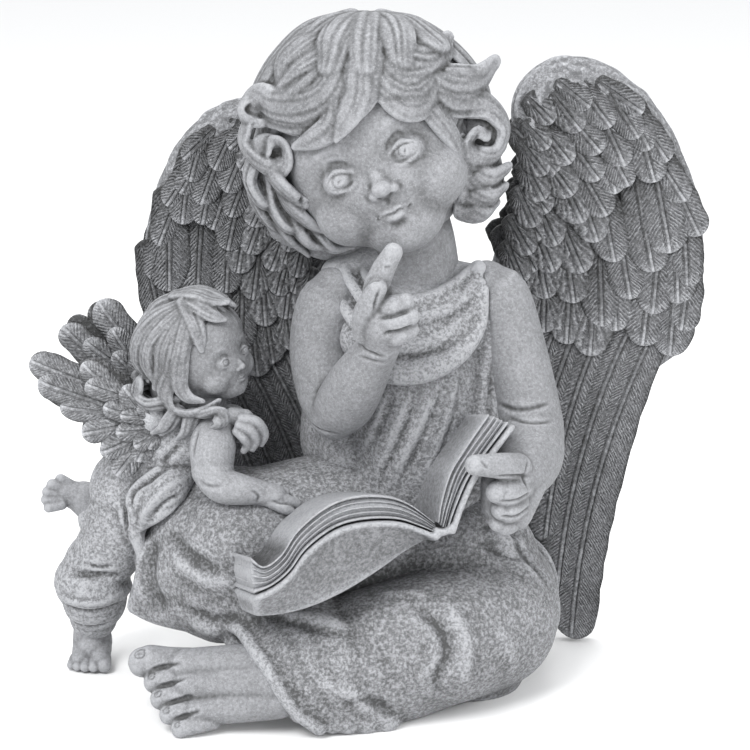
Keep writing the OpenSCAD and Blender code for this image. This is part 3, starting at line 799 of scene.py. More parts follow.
def backHair(lay, middle, spread=112, turned=0.0):
    # Locks down the back, from the crown to the nape in tiers: each goes down a ball as wide as the reach,
    # and sways across it by a sine of how far down it is.
    count = lay["backLocks"]
    out = []
    for tier, (start, stop, width) in enumerate(backTiers):
        for k in range(count):
            across = math.radians(-spread + 2 * spread * (k + 0.5 * (tier % 2)) / (count - 1) + turned)
            down = np.radians(np.linspace(start, stop, 6))
            sway = across + 0.16 * np.sin(3.2 * down + 1.7 * k + tier) * (0.5 + np.sin(down))
            reach = lay["reach"] + 0.8 * math.sin(2.3 * k + tier)
            aside, back = np.sin(down) * np.sin(sway), np.sin(down) * np.cos(sway)
            line = reach * np.column_stack([aside, back, np.cos(down)])
            thick = width * np.array([0.45, 0.8, 0.95, 0.95, 0.75, 0.25])
            out.append(np.column_stack([np.asarray(middle, float) + line, thick]))
    return out


def lockTube(line, middle, count=56, around=72, depth=0.17, flat=0.46, swell=1.22):
    # A lock: a flattened tube facing away from the head. Its radius is 1 less a sum of narrow
    # grooves, depth * exp(-(angle from the groove / width) ** 2), which wander along the lock.
    line = np.array(line, float) * [1, 1, 1, swell]
    rng = np.random.default_rng(int(abs(1000 * line[0, 0] + 37 * line[-1, 2])) + len(line))
    n = lockGrooves
    cuts = np.linspace(0, 2 * np.pi, n, endpoint=False) + rng.uniform(-0.22, 0.22, n)
    size = rng.uniform(0.4, 1.3, n) * depth
    wander, wide = rng.uniform(0, 6.3, n), rng.uniform(0.07, 0.13, n)

    def strand(angle, s):
        total = 0
        for c, d, w, e in zip(cuts, size, wander, wide):
            away = (angle - c - 0.13 * np.sin(4 * s + w) + np.pi) % (2 * np.pi) - np.pi
            total = total + d * np.exp(-(away / e) ** 2)
        return 1 - total

    return tube(line, count, around, awayFrom=middle, flat=flat, groove=strand)


def makeHair():
    # The locks round the face are one piece, and the cap with the back locks is the other.
    lay = hairLayout
    back = backHair(lay, lay["backMiddle"])
    backing = [ball(*b) for b in lay["backing"]]
    near, far = backing[:lay["frontBacking"]], backing[lay["frontBacking"]:]
    front = [lockTube(lifted(line, headSurface), lay["middle"]) for line in lay["front"]]
    finish("hairLocks", fused(front + near, 0.64, 2), resin["hair"], [])
    rest = [lockTube(line, lay["middle"], flat=0.5, swell=1.35) for line in back]
    finish("hairBack", fused([ball(*lay["cap"])] + far + rest, 0.72, 2), resin["hair"], [])


makeHair()


bodiceShape = {
    "clay": [[[-14, 12, 172, 9], [2, 12, 177, 11], [17, 11, 181, 12]], [[-6, 27, 142, 22],
        [-6, 28, 100, 26]], [[40, 27, 142, 22], [41, 28, 100, 26]], [[17, 16, 70, 33], [17, 12, 96, 31],
        [17, 9, 128, 29], [17, 9, 148, 26], [17, 10, 160, 20]], [[-10, 10, 163, 11], [17, 10, 166, 15],
        [43, 12, 166, 11]], [[17, 10, 166, 15], [17.5, 11, 180, 12]], [[17, 18, 86, 34],
        [17, 22, 146, 23]], [[0, 28, 152, 15], [-2, 31, 126, 16], [-2, 30, 96, 18]], [[35, 28, 152, 15],
        [37, 31, 126, 16], [38, 30, 96, 18]], [[-10, 20, 158, 12], [17, 26, 160, 15], [44, 20, 158, 12]],
        [[42, 8, 158, 9], [46, 6, 140, 10], [47, 4, 120, 12], [46, 2, 98, 16]], [[-6, 12, 150, 9],
        [-9, 12, 126, 11], [-8, 10, 100, 16]], [[38, 6, 166, 8], [26, 0, 162, 11], [12, -3, 160, 12],
        [-3, 2, 162, 9]], [[40, 4, 154, 9], [28, -4, 150, 12.5], [13, -8, 148, 13.5], [-4, -4, 150, 11]]],
    "swags": [[[41, 5, 178, 2.2], [33, -1, 172.5, 2.3], [24, -8, 169, 2.3], [13, -12, 167, 2.3],
        [2, -9, 168, 2.3], [-5, 2, 176, 2.4], [-8, 12, 181, 2.2]], [[42, 3, 175, 2.4], [36, -3, 167, 2.8],
        [26, -11, 162.5, 3.1], [14, -15, 160.5, 3.1], [2, -14, 161, 3.1], [-7, -5, 169, 2.6],
        [-12, 4, 176, 2.4], [-14, 13, 180, 2.2]], [[43, 1, 172, 2.4], [39, -4, 161, 3],
        [29, -14, 154.5, 3.5], [16, -20, 151, 3.6], [3, -19, 151.5, 3.5], [-8, -10, 158, 3],
        [-14, -1, 165, 2.4]], [[44, 0, 169, 2.6], [42, -5, 156, 3.6], [34, -15, 147, 4.6],
        [22, -22, 142, 5.4], [9, -23, 140.5, 5.4], [-3, -19, 143, 4.6]]],
    "folds": [[[35, -15, 142], [32, -19, 122], [25, -22, 104], [16, -21, 88]], [[25, -20, 136],
        [20, -22, 120], [12, -22, 104], [4, -20, 88]], [[14, -21, 134], [9, -21, 118], [2, -20, 102],
        [-6, -17, 88]], [[44, -5, 148], [44, -9, 130], [41, -13, 110], [36, -17, 92]], [[4, -20, 134],
        [-2, -18, 116], [-9, -12, 100]], [[50, -4, 140], [51, -6, 120], [50, -8, 102]]],
    "straps": [[[-14, 4, 175], [-12, -1, 166], [-10, -5, 157]], [[-10, 5, 177], [-8, 0, 168],
        [-6, -6, 160]], [[-6, 6, 178], [-4, 0, 172], [-2, -6, 166]]],
    "backFolds": {"from": -20, "to": 54, "count": 8, "top": 152, "low": 74},
    "button": [[42, 4, 177.5], [3.4, 3.4, 3.2]],
    "neckline": [[-20, -8, 2, 13, 24, 33, 41, 60], [176, 175, 168.5, 167, 169, 173, 179, 180]],
}


def cloakBack(lay):
    # Folds that hang down the back, a little fanned.
    lines = []
    top, low = lay["top"], lay["low"]
    for x in np.linspace(lay["from"], lay["to"], lay["count"]):
        fan = 0.25 * (x - 17)
        lines.append([[x, 46, top], [x + 0.3 * fan, 54, 0.5 * (top + low)], [x + fan, 54, low]])
    return lines


def makeBodice():
    # Clay tubes melted into a torso, with the swags laid over it and folds pressed in; above the neckline
    # it is bare skin.
    lay = bodiceShape
    base = asPart(fused([tube(line, 30, 44) for line in lay["clay"]], 1.0, 14))
    swags = [tube(line, 60, 24, out=(0.1, -1, 0.25), flat=0.75) for line in lay["swags"]]
    skin = Relief(fused([base, ball(*lay["button"])] + swags, 0.85, 3))
    worked(skin, [[1.1, -1.0, line] for line in lay["straps"]])
    worked(skin, ridges(lay["folds"], 2.6, 1.0, [3.8, 0, 0]))
    worked(skin, ridges(cloakBack(lay["backFolds"]), 3.6, 1.1, [4.6, 0, 0]))
    neckline = np.interp(skin.at[:, 0], *lay["neckline"])
    bare = (skin.at[:, 2] > neckline + 1.5) & (skin.at[:, 1] < 12) | (skin.at[:, 2] > 176)
    storeBare(skin.mesh, bare.astype(float))
    finish("bodiceGown", skin.mesh, resin["cloth"], ["bodice"], 0.12, 0.55)


def storeBare(mesh, amount):
    # 1 where the cloth gives way to bare skin.
    layer = mesh.attributes.new("bare", "FLOAT", "POINT")
    layer.data.foreach_set("value", amount.astype(np.float32))


makeBodice()


skirtShape = {
    "balls": [[[16, 18, 42], [43, 43, 41]], [[-53, -12, 64], [29, 25, 27]], [[16, 20, 14], [38, 38, 26]],
        [[38, -4, 12], [27, 26, 24]], [[-4, -34, 12], [24, 25, 22]]],
    "clay": [[[-9, 21, 26, 29], [16, 27, 28, 38], [48, 18, 30, 31]], [[12, 12, 62, 33], [-20, 4, 64, 33],
        [-48, -6, 63, 31]], [[34, 8, 48, 36], [50, -6, 34, 28]], [[47, -12, 31, 29], [20, -32, 29, 28],
        [-12, -36, 26, 24], [-36, -36, 30, 15]], [[-10, -34, 20, 24], [8, -36, 22, 25],
        [38, -14, 26, 26]], [[-56, -6, 66, 26], [-74, 0, 62, 22], [-88, 4, 54, 14]], [[-54, -2, 72, 22],
        [-66, 2, 74, 19], [-76, 4, 70, 17]], [[-56, -10, 62, 25], [-74, -7, 52, 21], [-88, -2, 43, 14],
        [-97, -3, 37, 8], [-102, -4, 33, 3.5]], [[-58, -16, 52, 22], [-74, -14, 40, 14], [-88, -8, 33, 7],
        [-98, -5, 31, 3]], [[-54, -18, 48, 22], [-64, -22, 36, 13], [-74, -18, 29, 4]],
        [[-44, -24, 46, 22], [-50, -32, 34, 11], [-57, -34, 30, 5]], [[-42, -50, 28, 8],
        [-28, -50, 26, 15], [-8, -44, 24, 21]], [[-36, -55, 19, 8], [-24, -52, 18, 14],
        [-6, -42, 18, 21]], [[-29, -57, 10, 7], [-20, -52, 11, 12], [-6, -42, 14, 19]]],
    "hem": [[-66, -27, 31, 2.2], [-60, -31, 36, 2.8], [-53, -40, 37, 3.2], [-46, -54, 33, 3.3],
        [-40, -61, 27, 3.3], [-35, -64, 19, 3.3], [-29, -64, 11, 3.3], [-21, -62, 4.5, 3.6]],
    "hemCloth": [[4, 1.6, 0, 1.6], [10, 3.4, 0, 4.6], [17, 6.4, 0, 8.6], [25, 10, 0, 12]],
    "proud": [[3.2, 1.8, [[-82, -18, 63], [-74, -29, 58], [-64, -34, 56], [-52, -36, 58]]],
        [3.2, 1.5, [[-78, -23, 37], [-68, -30, 34], [-58, -34, 35]]], [4.0, 2.6, [[-93, -4, 66],
        [-96, -6, 50], [-97, -7, 38]]], [3.6, 1.8, [[-46, -42, 52], [-32, -48, 48], [-18, -53, 45],
        [-2, -56, 43]]], [2.4, 0.9, [[-2, -42, 57], [10, -43, 55], [24, -45, 54]]],
        [3.8, 1.8, [[24, -48, 60], [33, -53, 48], [37, -55, 36], [36, -57, 24], [40, -54, 10]]],
        [3.4, 1.6, [[-24, -60, 26], [-8, -62, 18], [2, -62, 8]]], [3.0, 1.4, [[46, -20, 76],
        [58, -17, 70], [70, -8, 66]]], [3.4, 1.0, [[47, -46, 44], [54, -42, 30], [56, -34, 14]]]],
    "deep": [[3.0, -1.7, [[-85, -10, 71], [-78, -24, 67], [-70, -34, 63], [-60, -38, 61]]],
        [2.2, -1.3, [[-81, -21, 44], [-72, -29, 41], [-62, -33, 40], [-53, -36, 43]]],
        [4.4, -2.4, [[-88, -8, 66], [-87, -12, 48], [-83, -16, 33]]], [2.2, -1.3, [[-48, -38, 47],
        [-36, -46, 42.5], [-24, -52, 40.5], [-8, -57, 39]]], [2.8, -2.4, [[12, -50, 56], [22, -55, 49],
        [28, -58, 41], [29, -60, 32], [25, -61, 22], [29, -59, 12]]], [2.0, -1.4, [[41, -21, 70],
        [52, -19, 62], [66, -16, 57]]], [2.0, -1.5, [[43, -18, 73], [55, -12, 76], [66, -6, 82]]],
        [2.6, -1.6, [[-14, -62, 20], [2, -63, 13], [10, -62, 5]]]],
    "backFolds": 11,
    "footRing": [[16, 18, 38], [38, -4, 24], [-4, -36, 23]],        # the ring that it stands on: x, y, radius
    "ringWidth": 3.2, "ringHeight": 3.0,
}


def seatFolds(count):
    # Folds round the seat's back and sides, each from the waist down to the ground and out.
    lines = []
    for k in range(count):
        a = math.radians(-38 + 212 * k / (count - 1))
        out = np.array([math.cos(a), math.sin(a)])
        sway = 4 * math.sin(2.1 * k)
        waist, side = [16, 18] + 34 * out, [16, 18] + 46 * out
        shift = sway * out[1]
        lines.append([[*waist, 80], [side[0] + shift, side[1], 50], [side[0] - shift, side[1], 12]])
    return lines


def makeSkirt():
    # Legs under cloth from melted balls and tubes, cloth in steps behind the hem, then the folds; underneath
    # it is raised by the ring's height inside the ring it stands on.
    lay = skirtShape
    clay = [ball(*b) for b in lay["balls"]] + [tube(line, 30, 44) for line in lay["clay"]]
    base = asPart(fused(clay, 1.2, 12))
    hem = np.array(lay["hem"])
    near = np.clip(hem[:, 2:3] / 26, 0.3, 1) * [0, 0, 0, 1] + [1, 1, 1, 0]
    cloth = [tube(hem + step * near, 60, 32) for step in np.array(lay["hemCloth"])]
    base = asPart(fused([base] + cloth, 1.1, 8))
    skin = Relief(fused([base, tube(hem - [1.2, 1.6, 0, 0.4], 80, 20)], 1.05, 2))
    worked(skin, lay["proud"])
    worked(skin, lay["deep"])
    worked(skin, ridges(seatFolds(lay["backFolds"]), 4.0, 1.9, [3, 0, 0]))
    skin.at[:, 2] = np.maximum(skin.at[:, 2], 0)
    ring = np.array(lay["footRing"], float)
    inside = np.full(len(skin.at), 1e9)
    for a, b in ((0, 1), (1, 2), (2, 0)):
        for t in np.linspace(0, 1, 9):
            disc = ring[a] * (1 - t) + ring[b] * t
            inside = np.minimum(inside, np.hypot(skin.at[:, 0] - disc[0], skin.at[:, 1] - disc[1]) - disc[2])
    hollow = (skin.at[:, 2] < 0.01) & (inside < -lay["ringWidth"])
    skin.at[hollow, 2] = lay["ringHeight"]
    skin.settle()
    finish("skirtGown", skin.mesh, resin["cloth"], ["skirt"], -0.05, 0.6)


makeSkirt()


rightArmShape = {
    "clay": [[[-15, 9, 167, 11], [-19, 7, 160, 13.5], [-22, 3, 144, 13.2], [-20, -6, 128, 12],
        [-17, -12, 120.5, 10.4]], [[-16, -14, 120.5, 10.4], [-12, -20, 127, 12], [-7, -28, 138, 11.4],
        [-1, -35, 150, 9.2], [3, -41, 158, 8]], [[2, -40, 157, 8.2], [4, -44, 167, 10], [5, -44, 173, 8]],
        [[1, -46, 171, 5.4], [0, -47, 179, 5], [3, -49, 188, 4.6], [7, -50, 195.5, 3.8]],
        [[1, -43, 171, 4.2], [6, -50, 174, 4.5], [11.5, -51, 176, 3.7]], [[1, -43, 165.5, 4.2],
        [7, -51, 168.4, 4.6], [13.5, -51, 170.4, 3.8]], [[2, -42, 160, 4], [8, -49, 162.4, 4.4],
        [13.5, -49, 164.6, 3.7]], [[-4, -43, 162, 5], [-4, -47, 170, 4.8], [-1, -51, 178, 4.3],
        [1, -53, 182, 3.8]]],
    "lines": [[0.8, -1.4, [[1, -53, 170.2], [7, -55, 171.4], [14, -54, 173.6]]],
        [0.8, -1.4, [[2, -52, 164], [8, -54, 165.2], [15, -53, 167.6]]], [0.7, -0.8, [[-1, -52, 172],
        [0, -54, 178], [2, -55, 184]]], [0.8, -0.8, [[-9, -44, 156], [-3, -49, 154], [5, -47, 153]]],
        [0.7, -0.5, [[-8, -43, 153], [-2, -47, 151], [5, -45, 150]]], [0.8, -0.6, [[-28, -14, 118],
        [-22, -24, 114], [-12, -26, 112]]], [0.6, -0.5, [[-2, -53, 183], [2, -54, 184]]],
        [0.6, -0.4, [[3, -55, 191], [7, -55, 190]]]],
}
leftArmShape = {
    "clay": [[[46, 13, 168, 10.5], [51, 12, 163, 13], [56, 8, 146, 13.6], [61, 0, 127, 13.6],
        [64, -6, 113, 13.6]], [[64, -8, 111, 13.6], [63, -20, 104, 13.4], [58, -32, 101, 12],
        [54, -41, 101, 9.6]], [[54, -38, 101, 10], [51, -44, 102, 9], [52, -42, 92, 10]],
        [[60, -34, 98, 9], [55, -40, 88, 8.5]], [[56, -42, 106, 6.4], [49, -53, 110.5, 5.2],
        [39, -60, 113, 4.2]], [[57, -42, 99, 6.4], [52, -51, 99, 5.8], [48, -54, 100, 4.6]],
        [[57, -40, 92, 6.2], [53, -49, 91.5, 5.6], [50, -51, 92, 4.4]], [[56, -38, 86, 5.8],
        [52, -45, 84.5, 5.2], [49, -47, 85.5, 4.2]]],
    "lines": [[0.7, -1.2, [[62, -46, 104.6], [54, -57, 105.6], [46, -61, 106.6]]],
        [0.7, -1.0, [[62, -46, 97.6], [55, -56, 97], [48, -60, 96.6]]], [0.7, -1.0, [[61, -44, 91.6],
        [55, -54, 90], [48, -58, 89]]], [1.1, -1.2, [[50, -6, 124], [60, -14, 122], [72, -12, 125]]],
        [0.9, -0.8, [[54, -12, 119], [63, -20, 117], [74, -16, 119]]], [0.8, -0.7, [[62, -44, 111],
        [58, -48, 106], [58, -46, 96]]], [0.6, -0.5, [[41, -63, 116], [44, -62, 112]]]],
}


def makeArm(name, lay, node):
    # Tubes for the arm, the hand and each finger melted together, then creases.
    skin = Relief(fused([tube(line, 34, 36) for line in lay["clay"]], 0.6, 4))
    worked(skin, lay["lines"])
    finish(name, skin.mesh, resin["skin"], [node])


makeArm("rightArmSkin", rightArmShape, "right_arm")
makeArm("leftArmSkin", leftArmShape, "left_arm")


bookShape = {
    "leftTop": [[-50, 82], [-45, 78], [-38, 82], [-31, 91], [-20, 99], [-9, 102.5], [4, 102], [14, 98],
        [24, 89.5]],
    "leftLow": [[-50, 67], [-42, 70], [-35, 75], [-28, 83], [-17, 90], [-6, 92.5], [8, 92], [18, 88.5],
        [25, 85]],
    "rightTop": [[25, 89.5], [27, 98], [31, 109], [37, 117.5], [48, 131]],
    "rightLow": [[28.5, 85.5], [33, 96], [38.5, 106], [46, 115], [56.5, 127]],
    "under": [[-48, 58], [-38, 58], [-26, 60], [-12, 65], [2, 72], [14, 79], [25, 84]],
    "turn": [-16, 13], "hinge": [24.5, 88], "front": -61, "length": 50, "leaves": 5, "inset": 0.05,
        "underSlabs": 26,
}


def bookPlace(x, back, z):
    # From the open book's own section to the lap: tilted about its front edge, then turned about the spine.
    lay = bookShape
    tilt, turn = (math.radians(a) for a in lay["turn"])
    px, pz = x - lay["hinge"][0], z - lay["hinge"][1]
    y = back * math.cos(tilt) - pz * math.sin(tilt)
    z = back * math.sin(tilt) + pz * math.cos(tilt)
    return np.stack([lay["hinge"][0] + px * math.cos(turn) - y * math.sin(turn),
                     lay["front"] + px * math.sin(turn) + y * math.cos(turn), lay["hinge"][1] + z], axis=-1)


def slab(top, low, shareTop, shareLow, front, back, count=60, trim=(0, 0)):
    # A leaf between two shares of the way from the top curve to the low one: a rounded band of
    # the same height along the curve, from its front edge to its back edge, closing at both ends.
    upper, run = curveThrough(top, count)
    lower, _ = curveThrough(low, count)
    s = (run / run[-1])[:, None]
    around = np.linspace(0, 2 * np.pi, 28, endpoint=False)
    across = np.sign(np.cos(around)) * np.abs(np.cos(around)) ** 0.25
    height = np.sign(np.sin(around)) * np.abs(np.sin(around)) ** 0.55
    share = 0.5 * (shareTop + shareLow) - 0.5 * (shareLow - shareTop) * height[None, :]
    end = np.clip(np.minimum(run - trim[0], run[-1] - trim[1] - run), 0, 1)[:, None]
    share = 0.5 * (shareTop + shareLow) + (share - 0.5 * (shareTop + shareLow)) * np.sqrt(end * (2 - end))
    middle = 0.5 * (front(s) + back(s))
    y = middle + 0.5 * (back(s) - front(s)) * across[None, :] * (0.98 + 0.02 * end)
    x = upper[:, :1] * (1 - share) + lower[:, :1] * share
    z = upper[:, 1:] * (1 - share) + lower[:, 1:] * share
    return bookPlace(x, y, z).reshape(-1, 3), gridQuads(count, 28)


def makeBook():
    # Wavy-edged leaves on both sides with a plain core between them, two boards, a spine, and an underside
    # of slabs that each start further back.
    lay = bookShape
    n, inset, under = lay["leaves"], lay["inset"], lay["underSlabs"]
    leaves, cover = [], []
    backEdge = lambda s: lay["length"] - 2 + 0 * s
    level = lambda y: (lambda s: y + 0 * s)
    for side, (top, low) in enumerate((("leftTop", "leftLow"), ("rightTop", "rightLow"))):
        for k in range(n):
            edge = 0.5 * math.sin(2.4 * k + side) + 0.5
            wavy = lambda s, e=edge, k=k: e + 0.35 * np.sin(9 * s + 2 * k)
            shares = k / n + inset * (k > 0), (k + 1) / n - inset * (k < n - 1)
            leaves.append(slab(lay[top], lay[low], *shares, wavy, backEdge))
        leaves.append(slab(lay[top], lay[low], 0.04, 0.96, level(2.0), level(lay["length"] - 4)))
        outside = np.add(lay[low], [0, -3.2] if side == 0 else [3.0, -1.6])
        cover.append(slab(lay[low], outside, 0.12, 1.0, level(-1.6), level(lay["length"] + 1.4)))
    for k in range(under):
        # Under the left board its underside falls away, back from the front edge.
        cover.append(slab(np.add(lay["leftLow"], [0, -2]), lay["under"], k / under, (k + 1.6) / under,
                          level(-0.6 + 0.5 * k), level(lay["length"] - 6), 40))
    spine = [[23, 85.6], [25, 84.2], [28, 84.2], [30.4, 86.2]]
    cover.append(slab(np.add(spine, [0, 3.5]), spine, 0, 1, level(-1.6), level(lay["length"] + 1.4), 16))
    finish("bookLeaves", welded(leaves), resin["page"], ["book"])
    finish("bookCover", fused(cover, 0.85, 5), resin["page"], [])


makeBook()


footShape = {
    "origin": [-38, -46, 10], "turn": [38, 2],
    "clay": [[[6, 4, 15, 12], [-4, 0, 12, 11.6]], [[-2, 4, 14, 11.5], [-18, 7, 11.5, 10],
        [-38, 10, 8, 8]], [[-2, 0, 13, 12], [-20, 1, 10.5, 9.5], [-37, 2, 7, 7.2]], [[-2, -4, 11, 10.5],
        [-18, -7, 8, 7.8], [-34, -9, 5.5, 5.8]], [[-34, 11.5, 7.4, 7], [-45, 13.4, 6.8, 6.2],
        [-53, 13.8, 6.8, 6.8], [-56, 13.6, 6.6, 6.2]], [[-34, 5, 6.4, 5], [-44, 5.4, 7.4, 4.5],
        [-51, 5.2, 5.2, 4.7]], [[-33, -1.2, 5.8, 4.8], [-42, -2, 6.8, 4.2], [-48.5, -2.4, 4.6, 4.4]],
        [[-31, -7.2, 5.2, 4.5], [-39, -8.8, 6, 4], [-45, -9.4, 4.2, 4.1]], [[-28, -12, 4.6, 4.3],
        [-35, -14.6, 5, 3.8], [-40.5, -15.6, 3.9, 3.8]]],
    "nails": [[-57, 14.4, 12, 2.6, 2.1], [-52.5, 5.6, 9.4, 1.9, 1.6], [-49.8, -2.2, 8.6, 1.8, 1.5],
        [-46.2, -9.4, 7.9, 1.6, 1.4], [-41.8, -15.6, 7.2, 1.4, 1.2]],
    "gaps": [[[-38, 8.6, 13], [-46, 9.2, 11], [-54, 9.2, 8]], [[-36, 1.8, 12], [-44, 1.6, 10],
        [-51, 1.4, 7]], [[-34, -4.4, 11], [-41, -5.4, 9], [-47, -6, 6]], [[-31, -10, 9], [-37, -11.6, 8],
        [-43, -12.6, 5]]],
}


def turnedAxes(aboutX, aboutZ):
    # Rows are a part's own directions after a turn about X and then about Z, in degrees.
    a, b = math.radians(aboutX), math.radians(aboutZ)
    tilt = np.array([[1, 0, 0], [0, math.cos(a), -math.sin(a)], [0, math.sin(a), math.cos(a)]])
    turn = np.array([[math.cos(b), -math.sin(b), 0], [math.sin(b), math.cos(b), 0], [0, 0, 1]])
    return (turn @ tilt).T


def makeFoot():
    # Tubes for the sole and each toe, a groove between the toes, and a ring and a hollow for each nail.
    lay = footShape
    axes = turnedAxes(*lay["turn"])
    skin = Relief(fused([carried(tube(line, 30, 36), lay["origin"], axes) for line in lay["clay"]], 0.6, 4))
    place = lambda points: np.asarray(lay["origin"], float) + np.asarray(points, float) @ axes
    for line in lay["gaps"]:
        skin.stroke(place(line), 0.9, -1.3)
    for x, y, z, long, wide in lay["nails"]:
        turn = np.linspace(0, 2 * np.pi, 9)
        ring = np.column_stack([x + long * np.cos(turn), y + wide * np.sin(turn), np.full(9, z)])
        skin.stroke(place(ring), 0.5, -0.45, taper=0.01)
        skin.dab(place([[x, y, z]])[0], wide * 0.75, -0.55)
    skin.at[:, 2] = np.maximum(skin.at[:, 2], 0.2)
    skin.settle()
    finish("leftFootSkin", skin.mesh, resin["skin"], ["left_foot"])


makeFoot()


